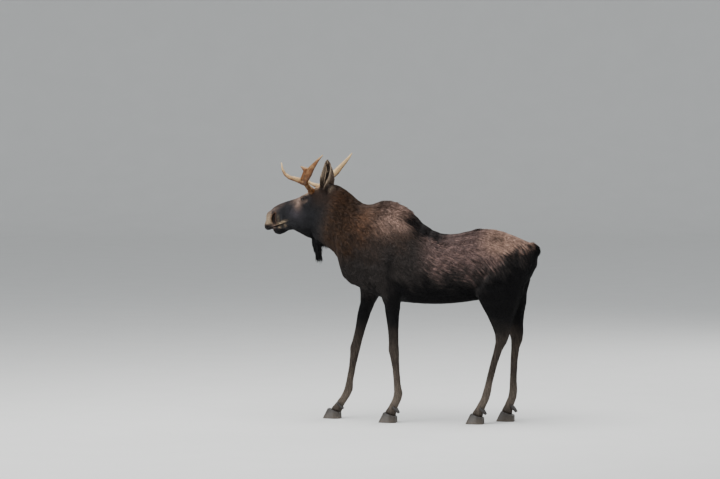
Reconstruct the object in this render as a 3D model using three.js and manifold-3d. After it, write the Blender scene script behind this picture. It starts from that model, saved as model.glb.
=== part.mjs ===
// A young bull moose, life size, walking with all four hooves on the ground.
// Millimetres, +Z up. The nose points along -X, the tail along +X, the animal's left side is at -Y.
// The animal is drawn straight first, in "drawing" places: x 0 under the top of the hump and z 0 on the
// ground. The neck is then bent to the animal's right, and the whole is moved so that the origin lies on
// the ground under the middle of its box.
import * as THREE from "three";
import { mergeVertices } from "three/addons/utils/BufferGeometryUtils.js";
import Module from "manifold-3d";

const wasm = await Module();
wasm.setup();

// ---------------------------------------------------------------------------------------- driving sizes
const GAP = 0.35; // between neighbours
const HEAD_TURN = THREE.MathUtils.degToRad(12); // the head looks to the animal's right
const TURN_FROM = 200; // the neck bends between these distances ahead of the hump
const TURN_TO = 450;
const CHEST_FLOOR = 900; // nothing below this height is bent
const HOOF_LENGTH = 150;
const TOE_SHARE = 0.62; // of the hoof's length, ahead of the foot's middle
const CLAW_WIDTH = 54;
const CLAW_SPREAD = 30; // from the middle of the foot to the middle of a claw
const TOE_IN = 6; // the points of the claws turn towards each other
const CORONET_TOE = 114; // the top of the hoof slopes from here, above and ahead of the toe,
const CORONET_HEEL = 22; // to here, behind the heel
const DEWCLAW_SPREAD = 25;
const EYE_RADIUS = 20;
const FORE_FOOT_OUT = 130; // from the midline to the middle of each foot
const HIND_FOOT_OUT = 128;
const UNDER_BELLY = 922;
// Where each leg is parted from the trunk: an arch seen from the side, and how far in from its own side.
const LEG_ARCH = {
  fore: { centre: -8, half: 128, top: 1170, inner: 58 },
  hind: { centre: 925, half: 245, top: 1345, inner: 46 },
};
// How far each joint is carried along X from a square stance: the sole, the fetlock, the knee or hock, and the
// elbow or stifle.
const STRIDE = {
  fore_left: [70, 92, 62, 52],
  fore_right: [-430, -362, -296, -185],
  hind_left: [-140, -118, -66, -8],
  hind_right: [70, 66, 22, -12],
};
const FORE_JOINTS = [0, 222, 580, 1010]; // heights of those joints
const HIND_JOINTS = [0, 222, 660, 1050];
const STRIDE_FADES_OVER = 330; // the body above the top joint follows it less and less

// Colours, roughness.
const FINISH = {
  coat_dark: [0x2a2422, 0.9],
  coat_brown: [0x4a372c, 0.9],
  leg: [0x5a5048, 0.9],
  ear: [0x564a40, 0.9],
  bell: [0x1b1817, 0.95],
  antler: [0xa9744a, 0.55],
  hoof: [0x2b2724, 0.5],
  eye: [0x150d09, 0.1],
};

// ------------------------------------------------------------------------------------------ body outline
// Each station is a slice of the body seen from the side: the top and the bottom of the slice as [x, z],
// its half width, how much narrower its top is than its bottom, and how round it is (1 an ellipse, less
// boxier).
const station = (top, bottom, half, narrow = 0, round = 1) => ({ top, bottom, half, narrow, round });

const TRUNK = [
  station([1194, 1390], [1188, 1262], 60, 0.0, 0.9),
  station([1164, 1426], [1146, 1172], 138, 0.05, 0.86),
  station([1112, 1455], [1094, 1105], 184, 0.08, 0.84),
  station([1030, 1489], [1015, 1060], 208, 0.12, 0.82),
  station([950, 1521], [935, 1030], 222, 0.16, 0.82),
  station([870, 1544], [860, 1008], 226, 0.18, 0.82),
  station([790, 1552], [785, 990], 226, 0.18, 0.82),
  station([710, 1545], [705, 975], 228, 0.16, 0.82),
  station([630, 1531], [625, 962], 234, 0.14, 0.82),
  station([549, 1513], [545, 952], 241, 0.12, 0.82),
  station([469, 1508], [465, 945], 246, 0.12, 0.83),
  station([388, 1522], [385, 942], 248, 0.14, 0.84),
  station([307, 1566], [300, 942], 248, 0.18, 0.86),
  station([226, 1634], [215, 946], 246, 0.24, 0.88),
  station([162, 1698], [140, 952], 243, 0.31, 0.9),
  station([105, 1734], [75, 960], 239, 0.35, 0.92),
  station([40, 1762], [0, 972], 233, 0.37, 0.93),
  station([-30, 1771], [-85, 998], 226, 0.36, 0.93),
  station([-95, 1761], [-175, 1036], 217, 0.33, 0.93),
  station([-150, 1745], [-265, 1078], 207, 0.28, 0.93),
];
const NECK = [
  station([-200, 1748], [-328, 1112], 197, 0.24, 0.93),
  station([-255, 1773], [-376, 1174], 184, 0.2, 0.93),
  station([-315, 1819], [-396, 1252], 168, 0.17, 0.93),
  station([-372, 1861], [-424, 1322], 155, 0.14, 0.93),
  station([-424, 1888], [-490, 1376], 141, 0.1, 0.92),
  station([-470, 1897], [-560, 1418], 130, 0.05, 0.9),
];
const SKULL = [
  station([-525, 1888], [-622, 1452], 124, 0.02, 0.86),
  station([-585, 1869], [-672, 1482], 119, 0.02, 0.84),
  station([-640, 1847], [-716, 1500], 112, 0.02, 0.84),
  station([-695, 1820], [-756, 1514], 101, 0.06, 0.82),
  station([-748, 1792], [-796, 1532], 86, 0.1, 0.78),
  station([-802, 1771], [-838, 1546], 77, 0.12, 0.76),
  station([-858, 1755], [-884, 1552], 74, 0.1, 0.78),
  station([-912, 1737], [-932, 1546], 76, 0.04, 0.8),
  station([-955, 1718], [-976, 1534], 79, -0.02, 0.8),
  station([-986, 1694], [-1012, 1522], 80, -0.04, 0.8),
  station([-1008, 1658], [-1034, 1519], 74, -0.02, 0.84),
  station([-1027, 1616], [-1048, 1525], 60, 0.0, 0.88),
  station([-1046, 1578], [-1056, 1540], 36, 0.0, 0.95),
];
const JAW = [
  station([-600, 1640], [-632, 1450], 96, 0.0, 0.9),
  station([-660, 1620], [-690, 1470], 90, 0.0, 0.86),
  station([-730, 1600], [-752, 1500], 72, 0.0, 0.84),
  station([-796, 1588], [-808, 1525], 54, 0.0, 0.84),
  station([-852, 1580], [-856, 1518], 46, 0.0, 0.84),
  station([-900, 1574], [-902, 1493], 47, 0.0, 0.84),
  station([-935, 1566], [-934, 1483], 45, 0.0, 0.86),
  station([-966, 1556], [-964, 1490], 38, 0.0, 0.9),
  station([-986, 1545], [-984, 1511], 22, 0.0, 0.95),
];

// Legs are slices at heights: [z, front x, back x, middle y, half width], on a square stance.
const FORELEG = [
  [1480, -120, 60, 118, 70],
  [1380, -190, 110, 135, 88],
  [1270, -225, 128, 146, 96],
  [1170, -205, 118, 154, 92],
  [1080, -142, 104, 158, 80],
  [1010, -94, 84, 156, 66],
  [940, -72, 63, 152, 55],
  [860, -62, 50, 148, 49],
  [760, -50, 42, 143, 43],
  [665, -43, 38, 138, 40],
  [615, -48, 39, 136, 42],
  [560, -48, 40, 134, 41],
  [505, -36, 34, 133, 34],
  [420, -29, 30, 131, 28],
  [310, -29, 30, 130, 28],
  [252, -33, 38, 130, 33],
  [212, -37, 40, 130, 35],
  [165, -50, 22, 130, 33],
  [120, -72, 8, 130, 36],
  [80, -92, -2, 130, 43],
  [40, -96, 0, 130, 46],
];
const HINDLEG = [
  [1440, 830, 1000, 80, 56],
  [1385, 745, 1088, 112, 80],
  [1310, 706, 1142, 128, 94],
  [1210, 694, 1146, 139, 100],
  [1120, 692, 1128, 147, 96],
  [1040, 716, 1110, 151, 88],
  [970, 768, 1098, 153, 76],
  [900, 820, 1078, 152, 64],
  [830, 866, 1060, 147, 53],
  [765, 904, 1052, 142, 45],
  [715, 928, 1050, 138, 42],
  [665, 940, 1040, 135, 42],
  [610, 938, 1014, 133, 38],
  [550, 928, 994, 131, 32],
  [440, 914, 974, 129, 28],
  [320, 898, 958, 128, 28],
  [255, 888, 956, 128, 33],
  [212, 880, 952, 128, 35],
  [165, 862, 934, 128, 33],
  [120, 840, 918, 128, 36],
  [80, 820, 908, 128, 43],
  [40, 816, 910, 128, 46],
];

// Head fittings, as [distance ahead of the hump, distance from the midline, height].
const EYE_AT = [684, 88, 1772];
const ORBIT_AT = [668, 75, 1770];
const EAR_ROOT = [516, 82, 1858];
const EAR_TIP = { left: [452, 158, 2094], right: [554, 72, 2062] };
const EAR_FACES = { left: [0.3, 1, 0.1], right: [1, 0.5, 0.1] }; // which way each ear opens
const EAR_WIDTH = 82;
const EAR_WALL = 13;
const EAR_WIDEST = 0.5; // share of its length
const NOSTRIL_AT = [945, 80, 1622];
const NOSTRIL_WING_AT = [990, 50, 1628];
// The middle line of each piece of an antler, with its half width at each place. The tines start where the beam
// widens into a small palm, which the left antler fills in and the right one does not.
const ANTLER = {
  left: {
    beam: [[628, 56, 1836, 28], [622, 130, 1868, 24], [618, 205, 1902, 28], [620, 262, 1938, 36]],
    front: [[620, 240, 1918, 29], [664, 282, 1940, 22], [716, 306, 1956, 17], [764, 316, 1998, 12], [784, 312, 2076, 4]],
    middle: [[604, 262, 1940, 38], [582, 284, 1988, 33], [580, 298, 2022, 24], [622, 306, 2048, 3]],
    rear: [[624, 240, 1922, 38], [572, 280, 1978, 40], [524, 304, 2034, 27], [474, 320, 2086, 15], [426, 324, 2140, 4]],
  },
  right: {
    beam: [[628, 56, 1836, 28], [622, 130, 1868, 25], [618, 205, 1902, 27], [622, 262, 1938, 31]],
    front: [[622, 150, 1866, 26], [676, 182, 1872, 21], [733, 220, 1882, 16], [788, 255, 1904, 11], [828, 280, 1955, 4]],
    middle: [[618, 262, 1944, 22], [612, 280, 1976, 16], [612, 290, 2000, 9], [622, 296, 2022, 3]],
    rear: [[634, 240, 1920, 33], [574, 282, 1966, 29], [526, 306, 2024, 21], [474, 320, 2084, 14], [426, 324, 2140, 4]],
  },
};
const ANTLER_THICK = { beam: 0.85, front: 0.8, middle: 0.8, rear: 0.55 }; // against the width
const CUT_AT = { front: 34, middle: 30, rear: 46 }; // from the start of each tine to its parting cut

const SIDES = { left: -1, right: 1 };
const RING = 18; // points round a slice of the body
const LEG_RING = 10;
const BODY_STEPS = 42; // slices along the body, the jaw and a leg
const JAW_STEPS = 8;
const LEG_STEPS = 17;

// --------------------------------------------------------------------------------------- shape functions
// The neck bends along a circular arc from TURN_FROM to TURN_TO: how far it has turned at a distance ahead.
const BEND_RADIUS = (TURN_TO - TURN_FROM) / HEAD_TURN;
const turnAt = (ahead) => THREE.MathUtils.clamp((ahead - TURN_FROM) / BEND_RADIUS, 0, HEAD_TURN);

// Where a drawing place ends up once the neck is bent.
function turned([x, y, z]) {
  const ahead = -x;
  if (z < CHEST_FLOOR || ahead < TURN_FROM) return new THREE.Vector3(x, y, z);
  const angle = turnAt(ahead);
  const beyond = ahead - TURN_FROM - BEND_RADIUS * angle;
  return new THREE.Vector3(
    -(TURN_FROM + (BEND_RADIUS - y) * Math.sin(angle) + beyond * Math.cos(angle)),
    BEND_RADIUS - (BEND_RADIUS - y) * Math.cos(angle) + beyond * Math.sin(angle),
    z,
  );
}

// A closed skin through rings of equally many points, with a fan on each end. A folded ring, which runs out
// along one wall and back along the other, is closed by a strip instead.
function loft(rings, folded = false) {
  const count = rings[0].length;
  const points = rings.flat();
  const faces = [];
  rings.slice(1).forEach((_, k) => {
    for (let i = 0; i < count; i++) {
      const a = k * count + i;
      const b = k * count + ((i + 1) % count);
      faces.push(a, b, b + count, a, b + count, a + count);
    }
  });
  [rings[0], rings.at(-1)].forEach((ring, end) => {
    const first = end ? (rings.length - 1) * count : 0;
    if (folded) {
      for (let i = 0; i < count / 2 - 1; i++) {
        const [a, b] = [first + i, first + i + 1];
        const [c, d] = [first + count - 2 - i, first + count - 1 - i];
        faces.push(...(end ? [a, b, c, a, c, d] : [c, b, a, d, c, a]));
      }
      return;
    }
    const middle = points.length;
    points.push(ring.reduce((sum, p) => sum.map((v, k) => v + p[k] / count), [0, 0, 0]));
    for (let i = 0; i < count; i++) {
      const a = first + i;
      const b = first + ((i + 1) % count);
      faces.push(...(end ? [a, b, middle] : [b, a, middle]));
    }
  });
  return solid(points, faces);
}

// The same rings with the two end ones moved out along the tube.
function lengthened(rings, grow) {
  const centre = (ring) => [0, 1, 2].map((k) => ring.reduce((sum, p) => sum + p[k] / ring.length, 0));
  const moved = (ring, next) => {
    const [a, b] = [centre(ring), centre(next)];
    const long = Math.hypot(...a.map((v, k) => v - b[k]));
    return ring.map((p) => p.map((v, k) => v + ((a[k] - b[k]) / long) * grow));
  };
  return [moved(rings[0], rings[1]), ...rings.slice(1, -1), moved(rings.at(-1), rings.at(-2))];
}

// A manifold solid from drawing places, with the neck bent, unless bend is false, and the faces turned out.
function solid(points, faces, bend = true) {
  const places = points.map((p) => (bend ? turned(p) : new THREE.Vector3(...p)));
  const make = (order) =>
    new wasm.Manifold(
      new wasm.Mesh({
        numProp: 3,
        vertProperties: new Float32Array(places.flatMap((p) => [p.x, p.y, p.z])),
        triVerts: new Uint32Array(order),
      }),
    );
  const made = make(faces);
  return made.volume() > 0 ? made : make(faces.map((_, i) => faces[i - (i % 3) + 2 - (i % 3)]));
}

// A three.js geometry, in drawing places, as a solid.
function solidOf(geometry, bend = true) {
  const bare = geometry.clone();
  bare.deleteAttribute("normal");
  bare.deleteAttribute("uv");
  const merged = mergeVertices(bare, 1e-3);
  const at = merged.getAttribute("position");
  const points = Array.from({ length: at.count }, (_, i) => [at.getX(i), at.getY(i), at.getZ(i)]);
  return solid(points, Array.from(merged.index.array), bend);
}

// Values between the rows of a table, by a smooth curve through each group of three columns.
function between(rows, steps) {
  const columns = rows[0].length;
  const curves = [];
  for (let c = 0; c < columns; c += 3) {
    const at = (row, k) => row[c + k] ?? 0;
    curves.push(
      new THREE.CatmullRomCurve3(
        rows.map((row) => new THREE.Vector3(at(row, 0), at(row, 1), at(row, 2))),
        false,
        "catmullrom",
        0.5,
      ),
    );
  }
  return Array.from({ length: steps + 1 }, (_, i) =>
    curves.flatMap((curve) => curve.getPoint(i / steps).toArray()).slice(0, columns),
  );
}

// The body's slices as a tube. grow moves the surface out.
function bodyTube(stations, steps, grow = 0) {
  const rows = stations.map((s) => [...s.top, s.half, ...s.bottom, s.narrow, s.round]);
  const rings = between(rows, steps).map(([topX, topZ, half, bottomX, bottomZ, narrow, round]) => {
    const reach = Math.hypot(topX - bottomX, topZ - bottomZ) / 2;
    const stretch = (reach + grow) / reach;
    const [middleX, middleZ] = [(topX + bottomX) / 2, (topZ + bottomZ) / 2];
    return Array.from({ length: RING }, (_, i) => {
      const a = (i / RING) * 2 * Math.PI;
      const [up, out] = [Math.cos(a), Math.sin(a)];
      const across = (half + grow) * Math.sign(out) * Math.abs(out) ** round * (1 - narrow * up);
      return [middleX + (topX - middleX) * up * stretch, across, middleZ + (topZ - middleZ) * up * stretch];
    });
  });
  return loft(lengthened(rings, grow));
}

// How far a leg's slice at height z is carried by the stride.
function carried(stride, joints, z) {
  const above = z - joints.at(-1);
  if (above >= 0) return stride.at(-1) * Math.max(0, 1 - above / STRIDE_FADES_OVER);
  const k = joints.findLastIndex((joint) => joint <= z);
  return THREE.MathUtils.mapLinear(z, joints[k], joints[k + 1], stride[k], stride[k + 1]);
}

// A leg's slices as a tube.
function legTube(table, stride, joints, side) {
  return loft(
    between(table, LEG_STEPS).map(([z, front, back, y, half]) => {
      const shift = carried(stride, joints, z);
      const [middle, reach] = [(front + back) / 2 + shift, (back - front) / 2];
      return Array.from({ length: LEG_RING }, (_, i) => {
        const a = (i / LEG_RING) * 2 * Math.PI;
        const [along, out] = [Math.cos(a), Math.sin(a)];
        const across = half * Math.sign(out) * Math.abs(out) ** 0.9;
        return [middle + reach * along, side * y + across, z];
      });
    }),
  );
}

// A round tube through head places [ahead, out, up], with a radius at each, flattened across by flat.
function hornTube(places, radii, side, { grow = 0, flat = 1, sides = 9, steps = 8 } = {}) {
  const path = new THREE.CatmullRomCurve3(
    places.map(([ahead, out, up]) => new THREE.Vector3(-ahead, side * out, up)),
  );
  const widths = new THREE.CatmullRomCurve3(radii.map((r) => new THREE.Vector3(r, 0, 0)));
  const guide = new THREE.Vector3(0, side, 0.35).normalize();
  return loft(
    Array.from({ length: steps + 1 }, (_, k) => {
      const t = k / steps;
      const middle = path.getPoint(t);
      const along = path.getTangent(t);
      const u = guide.clone().addScaledVector(along, -guide.dot(along)).normalize();
      const v = along.clone().cross(u);
      const r = widths.getPoint(t).x + grow;
      return Array.from({ length: sides }, (_, i) => {
        const a = (i / sides) * 2 * Math.PI;
        return middle
          .clone()
          .addScaledVector(u, r * flat * Math.cos(a))
          .addScaledVector(v, r * Math.sin(a))
          .toArray();
      });
    }),
  );
}

// A ball or egg at a head place, optionally tipped about Y.
function egg([ahead, out, up], side, radii, tip = 0) {
  const geometry = new THREE.SphereGeometry(1, 11, 6);
  geometry.scale(...radii).rotateY(tip);
  geometry.translate(-ahead, side * out, up);
  return solidOf(geometry);
}

// A straight block whose side view is the polygon, from y near to y far.
function sideBlock(polygon, near, far) {
  return solidOf(sideGeometry(polygon, near, far), false);
}

function sideGeometry(polygon, near, far) {
  const shape = new THREE.Shape(polygon.map(([x, z]) => new THREE.Vector2(x, z)));
  const geometry = new THREE.ExtrudeGeometry(shape, { depth: far - near, bevelEnabled: false });
  return geometry.rotateX(Math.PI / 2).translate(0, far, 0);
}

// A slab GAP thick along the line from one [x, z] to another, square across the bent neck.
function thinCut([ax, az], [bx, bz]) {
  const long = Math.hypot(bx - ax, bz - az);
  const [ux, uz] = [(((bz - az) / long) * GAP) / 2, (((ax - bx) / long) * GAP) / 2];
  const corners = [[ax + ux, az + uz], [bx + ux, bz + uz], [bx - ux, bz - uz], [ax - ux, az - uz]];
  const middle = (ax + bx) / 2;
  const geometry = sideGeometry(corners.map(([x, z]) => [x - middle, z]), -600, 600);
  const place = turned([middle, 0, az]);
  return solidOf(geometry.rotateZ(-turnAt(-middle)).translate(place.x, place.y, 0), false);
}

const join = (...parts) => parts.reduce((a, b) => a.add(b));

// The largest separate piece of a cut body whose middle passes a test of its x.
function biggest(body, test = () => true) {
  const middleX = (piece) => (piece.boundingBox().min[0] + piece.boundingBox().max[0]) / 2;
  const found = body.decompose().filter((piece) => test(middleX(piece)));
  return found.sort((a, b) => b.volume() - a.volume())[0];
}

// ------------------------------------------------------------------------------------------------- feet
// Everything of the foot under the coronet, as a side outline round x, the middle of its sole.
function underCoronet(x, gap) {
  const [front, back] = [x - HOOF_LENGTH, x + HOOF_LENGTH];
  return [[front, CORONET_TOE + gap], [back, CORONET_HEEL + gap], [back, -20], [front, -20]];
}

// One claw: a flat sole, a point at the toe, and walls that lean in towards the coronet. inner is the
// direction of the other claw.
function claw(x, y, inner) {
  const rings = [0, 0.5, 1].map((up) => {
    const toe = HOOF_LENGTH * TOE_SHARE * (1 - 0.62 * up);
    const heel = HOOF_LENGTH * (1 - TOE_SHARE) * (1 - 0.1 * up);
    const half = (CLAW_WIDTH / 2) * (1 - 0.16 * up);
    return Array.from({ length: 12 }, (_, i) => {
      const a = (i / 12) * 2 * Math.PI;
      const [along, out] = [Math.cos(a), Math.sin(a)];
      const ahead = Math.max(0, -along); // 1 at the toe's point, 0 from the middle back
      const across = half * Math.sign(out) * Math.abs(out) ** 0.8 * (1 - 0.35 * ahead);
      return [x + (ahead > 0 ? toe : heel) * along, y + across + inner * TOE_IN * ahead, CORONET_TOE * up];
    });
  });
  return loft(rings).intersect(sideBlock(underCoronet(x, -GAP / 2), -600, 600));
}

// A dewclaw hangs behind the foot whose sole's middle is at x.
function dewclaw(x, out, side, grow = 0) {
  const places = [[-(x + 28), out, 128], [-(x + 52), out, 104], [-(x + 74), out, 76]];
  return hornTube(places, [13, 14, 7], side, { grow, steps: 2, sides: 6, flat: 0.85 });
}

// ------------------------------------------------------------------------------------------------- head
// An ear is a cup: a bent leaf whose slices are arcs with a wall, carried from the root to the tip.
function ear(side, name) {
  const toHead = ([ahead, out, up]) => new THREE.Vector3(-ahead, side * out, up);
  const root = toHead(EAR_ROOT);
  const tip = toHead(EAR_TIP[name]);
  const along = tip.clone().sub(root).normalize();
  const opens = toHead(EAR_FACES[name]);
  opens.addScaledVector(along, -opens.dot(along)).normalize();
  const across = along.clone().cross(opens);
  const slices = 8;
  const arc = 7; // points on each side of the wall
  const rings = Array.from({ length: slices + 1 }, (_, k) => {
    const t = k / slices;
    const swell = 0.48 + 0.52 * Math.sin((Math.PI / 2) * Math.min(1, t / EAR_WIDEST));
    const beyond = Math.max(0, t - EAR_WIDEST) / (1 - EAR_WIDEST);
    const taper = Math.max(0.12, (1 - beyond ** 3) ** 0.6);
    const width = (EAR_WIDTH / 2) * swell * taper;
    const wrap = THREE.MathUtils.lerp(2.5, 0.9, Math.min(1, t * 1.15)); // half angle of the arc
    const radius = width / Math.sin(Math.min(wrap, Math.PI / 2));
    const wall = (EAR_WALL * (1 - 0.55 * t)) / 2;
    const middle = root.clone().lerp(tip, t).addScaledVector(opens, -20 * Math.sin(Math.PI * t));
    const at = (angle, r) =>
      middle
        .clone()
        .addScaledVector(across, r * Math.sin(angle))
        .addScaledVector(opens, radius * 0.55 - r * Math.cos(angle))
        .toArray();
    const angles = Array.from({ length: arc }, (_, i) => THREE.MathUtils.lerp(-wrap, wrap, i / (arc - 1)));
    return [
      ...angles.map((angle) => at(angle, radius + wall)),
      ...angles.reverse().map((angle) => at(angle, Math.max(2, radius - wall))),
    ];
  });
  return loft(rings, true);
}

// An antler in four pieces: each tine is parted from the rest by a cut square to it, just beyond the fork.
function antlerPieces(which, head) {
  const side = SIDES[which];
  const antler = ANTLER[which];
  const tube = (name, steps, grow = 0) => {
    const widths = antler[name].map((row) => row[3]);
    return hornTube(antler[name], widths, side, { steps, grow, sides: 7, flat: ANTLER_THICK[name] });
  };
  const steps = { rear: 6, front: 6, middle: 3 };
  const names = Object.keys(steps);
  let beam = join(tube("beam", 4), ...names.map((name) => tube(name, steps[name]))).subtract(head);
  const pieces = {};
  for (const name of names) {
    const [from, to] = antler[name].map(([ahead, out, up]) => turned([-ahead, side * out, up]));
    const along = to.clone().sub(from).normalize();
    const offset = along.dot(from) + CUT_AT[name];
    const beyond = (grow, at) => tube(name, steps[name], grow).trimByPlane(along.toArray(), at);
    const taken = beyond(GAP, offset - GAP / 2);
    beam = beam.subtract(taken);
    for (const other of Object.keys(pieces)) pieces[other] = pieces[other].subtract(taken);
    pieces[`${name}_tine`] = beyond(0, offset + GAP / 2);
  }
  const whole = Object.entries({ beam, ...pieces });
  return Object.fromEntries(whole.map(([name, piece]) => [name, biggest(piece)]));
}

function bell() {
  const places = [[600, 0, 1490], [609, 0, 1444], [605, 0, 1400], [597, 0, 1356], [586, 0, 1314]];
  return hornTube(places, [56, 49, 37, 30, 18], 1, { flat: 0.62, sides: 10, steps: 7 });
}

function tail() {
  const places = [[-1130, 0, 1424], [-1172, 0, 1412], [-1198, 0, 1388], [-1204, 0, 1352]];
  return hornTube(places, [33, 28, 20, 7], 1, { flat: 1.15, sides: 10, steps: 5 });
}

// ------------------------------------------------------------------------------------------- the animal
const pieces = {};

// The body without its legs, with its surface moved out by grow.
const bodyParts = (grow) => [
  bodyTube([...TRUNK, ...NECK, ...SKULL], BODY_STEPS, grow),
  bodyTube(JAW, JAW_STEPS, grow),
  ...Object.values(SIDES).flatMap((side) => [
    egg(ORBIT_AT, side, [58 + grow, 31 + grow, 31 + grow], 0.35), // brow and cheekbone round the eye
    egg(NOSTRIL_WING_AT, side, [40 + grow, 32 + grow, 52 + grow], 0.25),
    hornTube([[628, 20, 1806], [628, 64, 1840]], [38, 32], side, { steps: 3, grow }), // pedicle
  ]),
];
const legs = Object.entries(SIDES).flatMap(([name, side]) => [
  legTube(FORELEG, STRIDE[`fore_${name}`], FORE_JOINTS, side),
  legTube(HINDLEG, STRIDE[`hind_${name}`], HIND_JOINTS, side),
]);
let flesh = join(...bodyParts(0), ...legs);
const clearance = join(...bodyParts(GAP)); // what sits on the body is cut back to this

// Feet: the claws and dewclaws, and the flesh cut back from them.
const FEET = [
  { end: "fore", soleX: -44, out: FORE_FOOT_OUT },
  { end: "hind", soleX: 868, out: HIND_FOOT_OUT },
];
for (const [name, side] of Object.entries(SIDES)) {
  for (const { end, soleX, out } of FEET) {
    const x = soleX + STRIDE[`${end}_${name}`][0];
    flesh = flesh.subtract(sideBlock(underCoronet(x, GAP / 2), side * out - 90, side * out + 90));
    for (const [which, outward] of [["inner", -1], ["outer", 1]]) {
      const y = side * (out + outward * CLAW_SPREAD);
      pieces[`hoof_${end}_${name}_${which}`] = claw(x, y, -side * outward);
      const dewclawOut = out + outward * DEWCLAW_SPREAD;
      pieces[`dewclaw_${end}_${name}_${which}`] = dewclaw(x, dewclawOut, side);
      flesh = flesh.subtract(dewclaw(x, dewclawOut, side, GAP));
    }
  }
}

// Head fittings, and the sockets of the eyes and nostrils.
for (const [name, side] of Object.entries(SIDES)) {
  for (const [part, piece] of Object.entries(antlerPieces(name, clearance)))
    pieces[`antler_${name}_${part}`] = piece;
  pieces[`ear_${name}`] = biggest(ear(side, name).subtract(clearance));
  const eyeball = (r) => egg(EYE_AT, side, [r, r, r]);
  pieces[`eye_${name}`] = eyeball(EYE_RADIUS);
  flesh = flesh.subtract(eyeball(EYE_RADIUS + GAP)).subtract(egg(NOSTRIL_AT, side, [12, 18, 34], 0.1));
}
pieces.bell = bell().subtract(clearance);
pieces.tail = tail().subtract(clearance);

// What belongs to a leg: all that is under the belly, and an arch of the body over it, on its own side.
function legBlock(side, { centre, half, top, inner }, gap) {
  const arch = Array.from({ length: 13 }, (_, i) => {
    const a = (i / 12) * Math.PI;
    return [centre - (half + gap) * Math.cos(a), UNDER_BELLY + (top + gap - UNDER_BELLY) * Math.sin(a)];
  });
  const [front, back] = [centre - 600, centre + 600];
  const outline = [[front, -20], [front, UNDER_BELLY], ...arch, [back, UNDER_BELLY], [back, -20]];
  const [near, far] = [inner - gap, 400];
  return sideBlock(outline, side > 0 ? near : -far, side > 0 ? far : -near);
}

// Part the flesh into the legs, the head, the neck and the trunk.
let body = flesh;
for (const [name, side] of Object.entries(SIDES)) {
  for (const { end } of FEET) {
    const carry = STRIDE[`${end}_${name}`].at(-1);
    const arch = { ...LEG_ARCH[end], centre: LEG_ARCH[end].centre + carry };
    pieces[`${end}leg_${name}`] = biggest(flesh.intersect(legBlock(side, arch, 0)));
    body = body.subtract(legBlock(side, arch, GAP));
  }
}
const HEAD_CUT = [[-440, 1960], [-596, 1380]];
const NECK_CUT = [[-150, 1830], [-470, 1200]];
body = body.subtract(thinCut(...HEAD_CUT)).subtract(thinCut(...NECK_CUT));
pieces.head = biggest(body, (x) => x < -560);
pieces.neck = biggest(body, (x) => x >= -560 && x < -100);
pieces.trunk = biggest(body, (x) => x >= -100);

// ------------------------------------------------------------------------------------------ named meshes
// The finish of each kind of piece, by the start of its name.
const FINISH_OF = {
  antler: FINISH.antler,
  hoof: FINISH.hoof,
  dewclaw: FINISH.hoof,
  eye: FINISH.eye,
  ear: FINISH.ear,
  bell: FINISH.bell,
  foreleg: FINISH.leg,
  hindleg: FINISH.leg,
  neck: FINISH.coat_brown,
  trunk: FINISH.coat_brown,
  head: FINISH.coat_dark,
  tail: FINISH.coat_dark,
};

function meshOf(name, piece) {
  const { vertProperties, triVerts } = piece.getMesh();
  const geometry = new THREE.BufferGeometry();
  geometry.setAttribute("position", new THREE.BufferAttribute(vertProperties, 3));
  geometry.setIndex(new THREE.BufferAttribute(triVerts, 1));
  geometry.computeVertexNormals();
  const [color, roughness] = FINISH_OF[name.split("_")[0]];
  const mesh = new THREE.Mesh(geometry, new THREE.MeshStandardMaterial({ color, roughness, metalness: 0 }));
  mesh.name = name;
  return mesh;
}

const moose = new THREE.Group();
for (const [name, piece] of Object.entries(pieces)) moose.add(meshOf(name, piece));
const box = new THREE.Box3().setFromObject(moose);
const middleOfBox = box.getCenter(new THREE.Vector3());
moose.position.set(-middleOfBox.x, -middleOfBox.y, -box.min.z);

export default moose;
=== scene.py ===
"""Skin, coat, eyes, antlers, hooves and studio of a life-size museum model of a young bull moose.

Metres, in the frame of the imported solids: the nose along -X, the tail along +X, the animal's left side at -Y
and the ground at z 0. Measures on the body are given for the animal drawn straight, as ahead (of the top of
the shoulder hump), out (from the midline, the right side positive) and up, before the neck is bent.
"""

import bmesh
import bpy
import numpy as np
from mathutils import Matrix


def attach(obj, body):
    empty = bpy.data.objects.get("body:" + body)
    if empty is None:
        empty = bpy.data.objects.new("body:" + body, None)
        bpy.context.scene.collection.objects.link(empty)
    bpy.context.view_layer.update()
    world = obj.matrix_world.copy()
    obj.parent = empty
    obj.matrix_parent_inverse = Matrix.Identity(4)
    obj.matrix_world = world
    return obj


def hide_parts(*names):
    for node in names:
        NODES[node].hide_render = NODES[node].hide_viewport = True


bl_info = {
    "name": "Bull moose",
    "version": (1, 0, 0),
    "blender": (4, 5, 0),
    "location": "3D View > Sidebar > Moose",
    "description": "Builds the skin, coat, eyes, antlers and hooves of a museum model of a young bull moose",
    "category": "Object",
}

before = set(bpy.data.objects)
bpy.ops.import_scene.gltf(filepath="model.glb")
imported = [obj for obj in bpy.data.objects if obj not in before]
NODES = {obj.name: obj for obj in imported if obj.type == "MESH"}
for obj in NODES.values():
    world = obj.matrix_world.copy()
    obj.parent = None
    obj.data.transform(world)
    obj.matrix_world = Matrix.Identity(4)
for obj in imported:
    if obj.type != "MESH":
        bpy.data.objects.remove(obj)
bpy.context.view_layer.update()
SIDES = {"left": -1, "right": 1}
ENDS = ("fore", "hind")

# The bend of the neck, which turns the head to the animal's right.
HEAD_TURN = np.radians(12)
BEND_FROM, BEND_TO = 0.200, 0.450
BEND_RADIUS = (BEND_TO - BEND_FROM) / HEAD_TURN
CHEST_FLOOR = 0.900  # nothing under this height is bent
LEGS_PART = -0.45  # forelegs ahead of this, hind legs behind it
SHIFT = np.array((0.08563, 0.04098, 0.0))  # of the drawn animal's origin from the frame's

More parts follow.
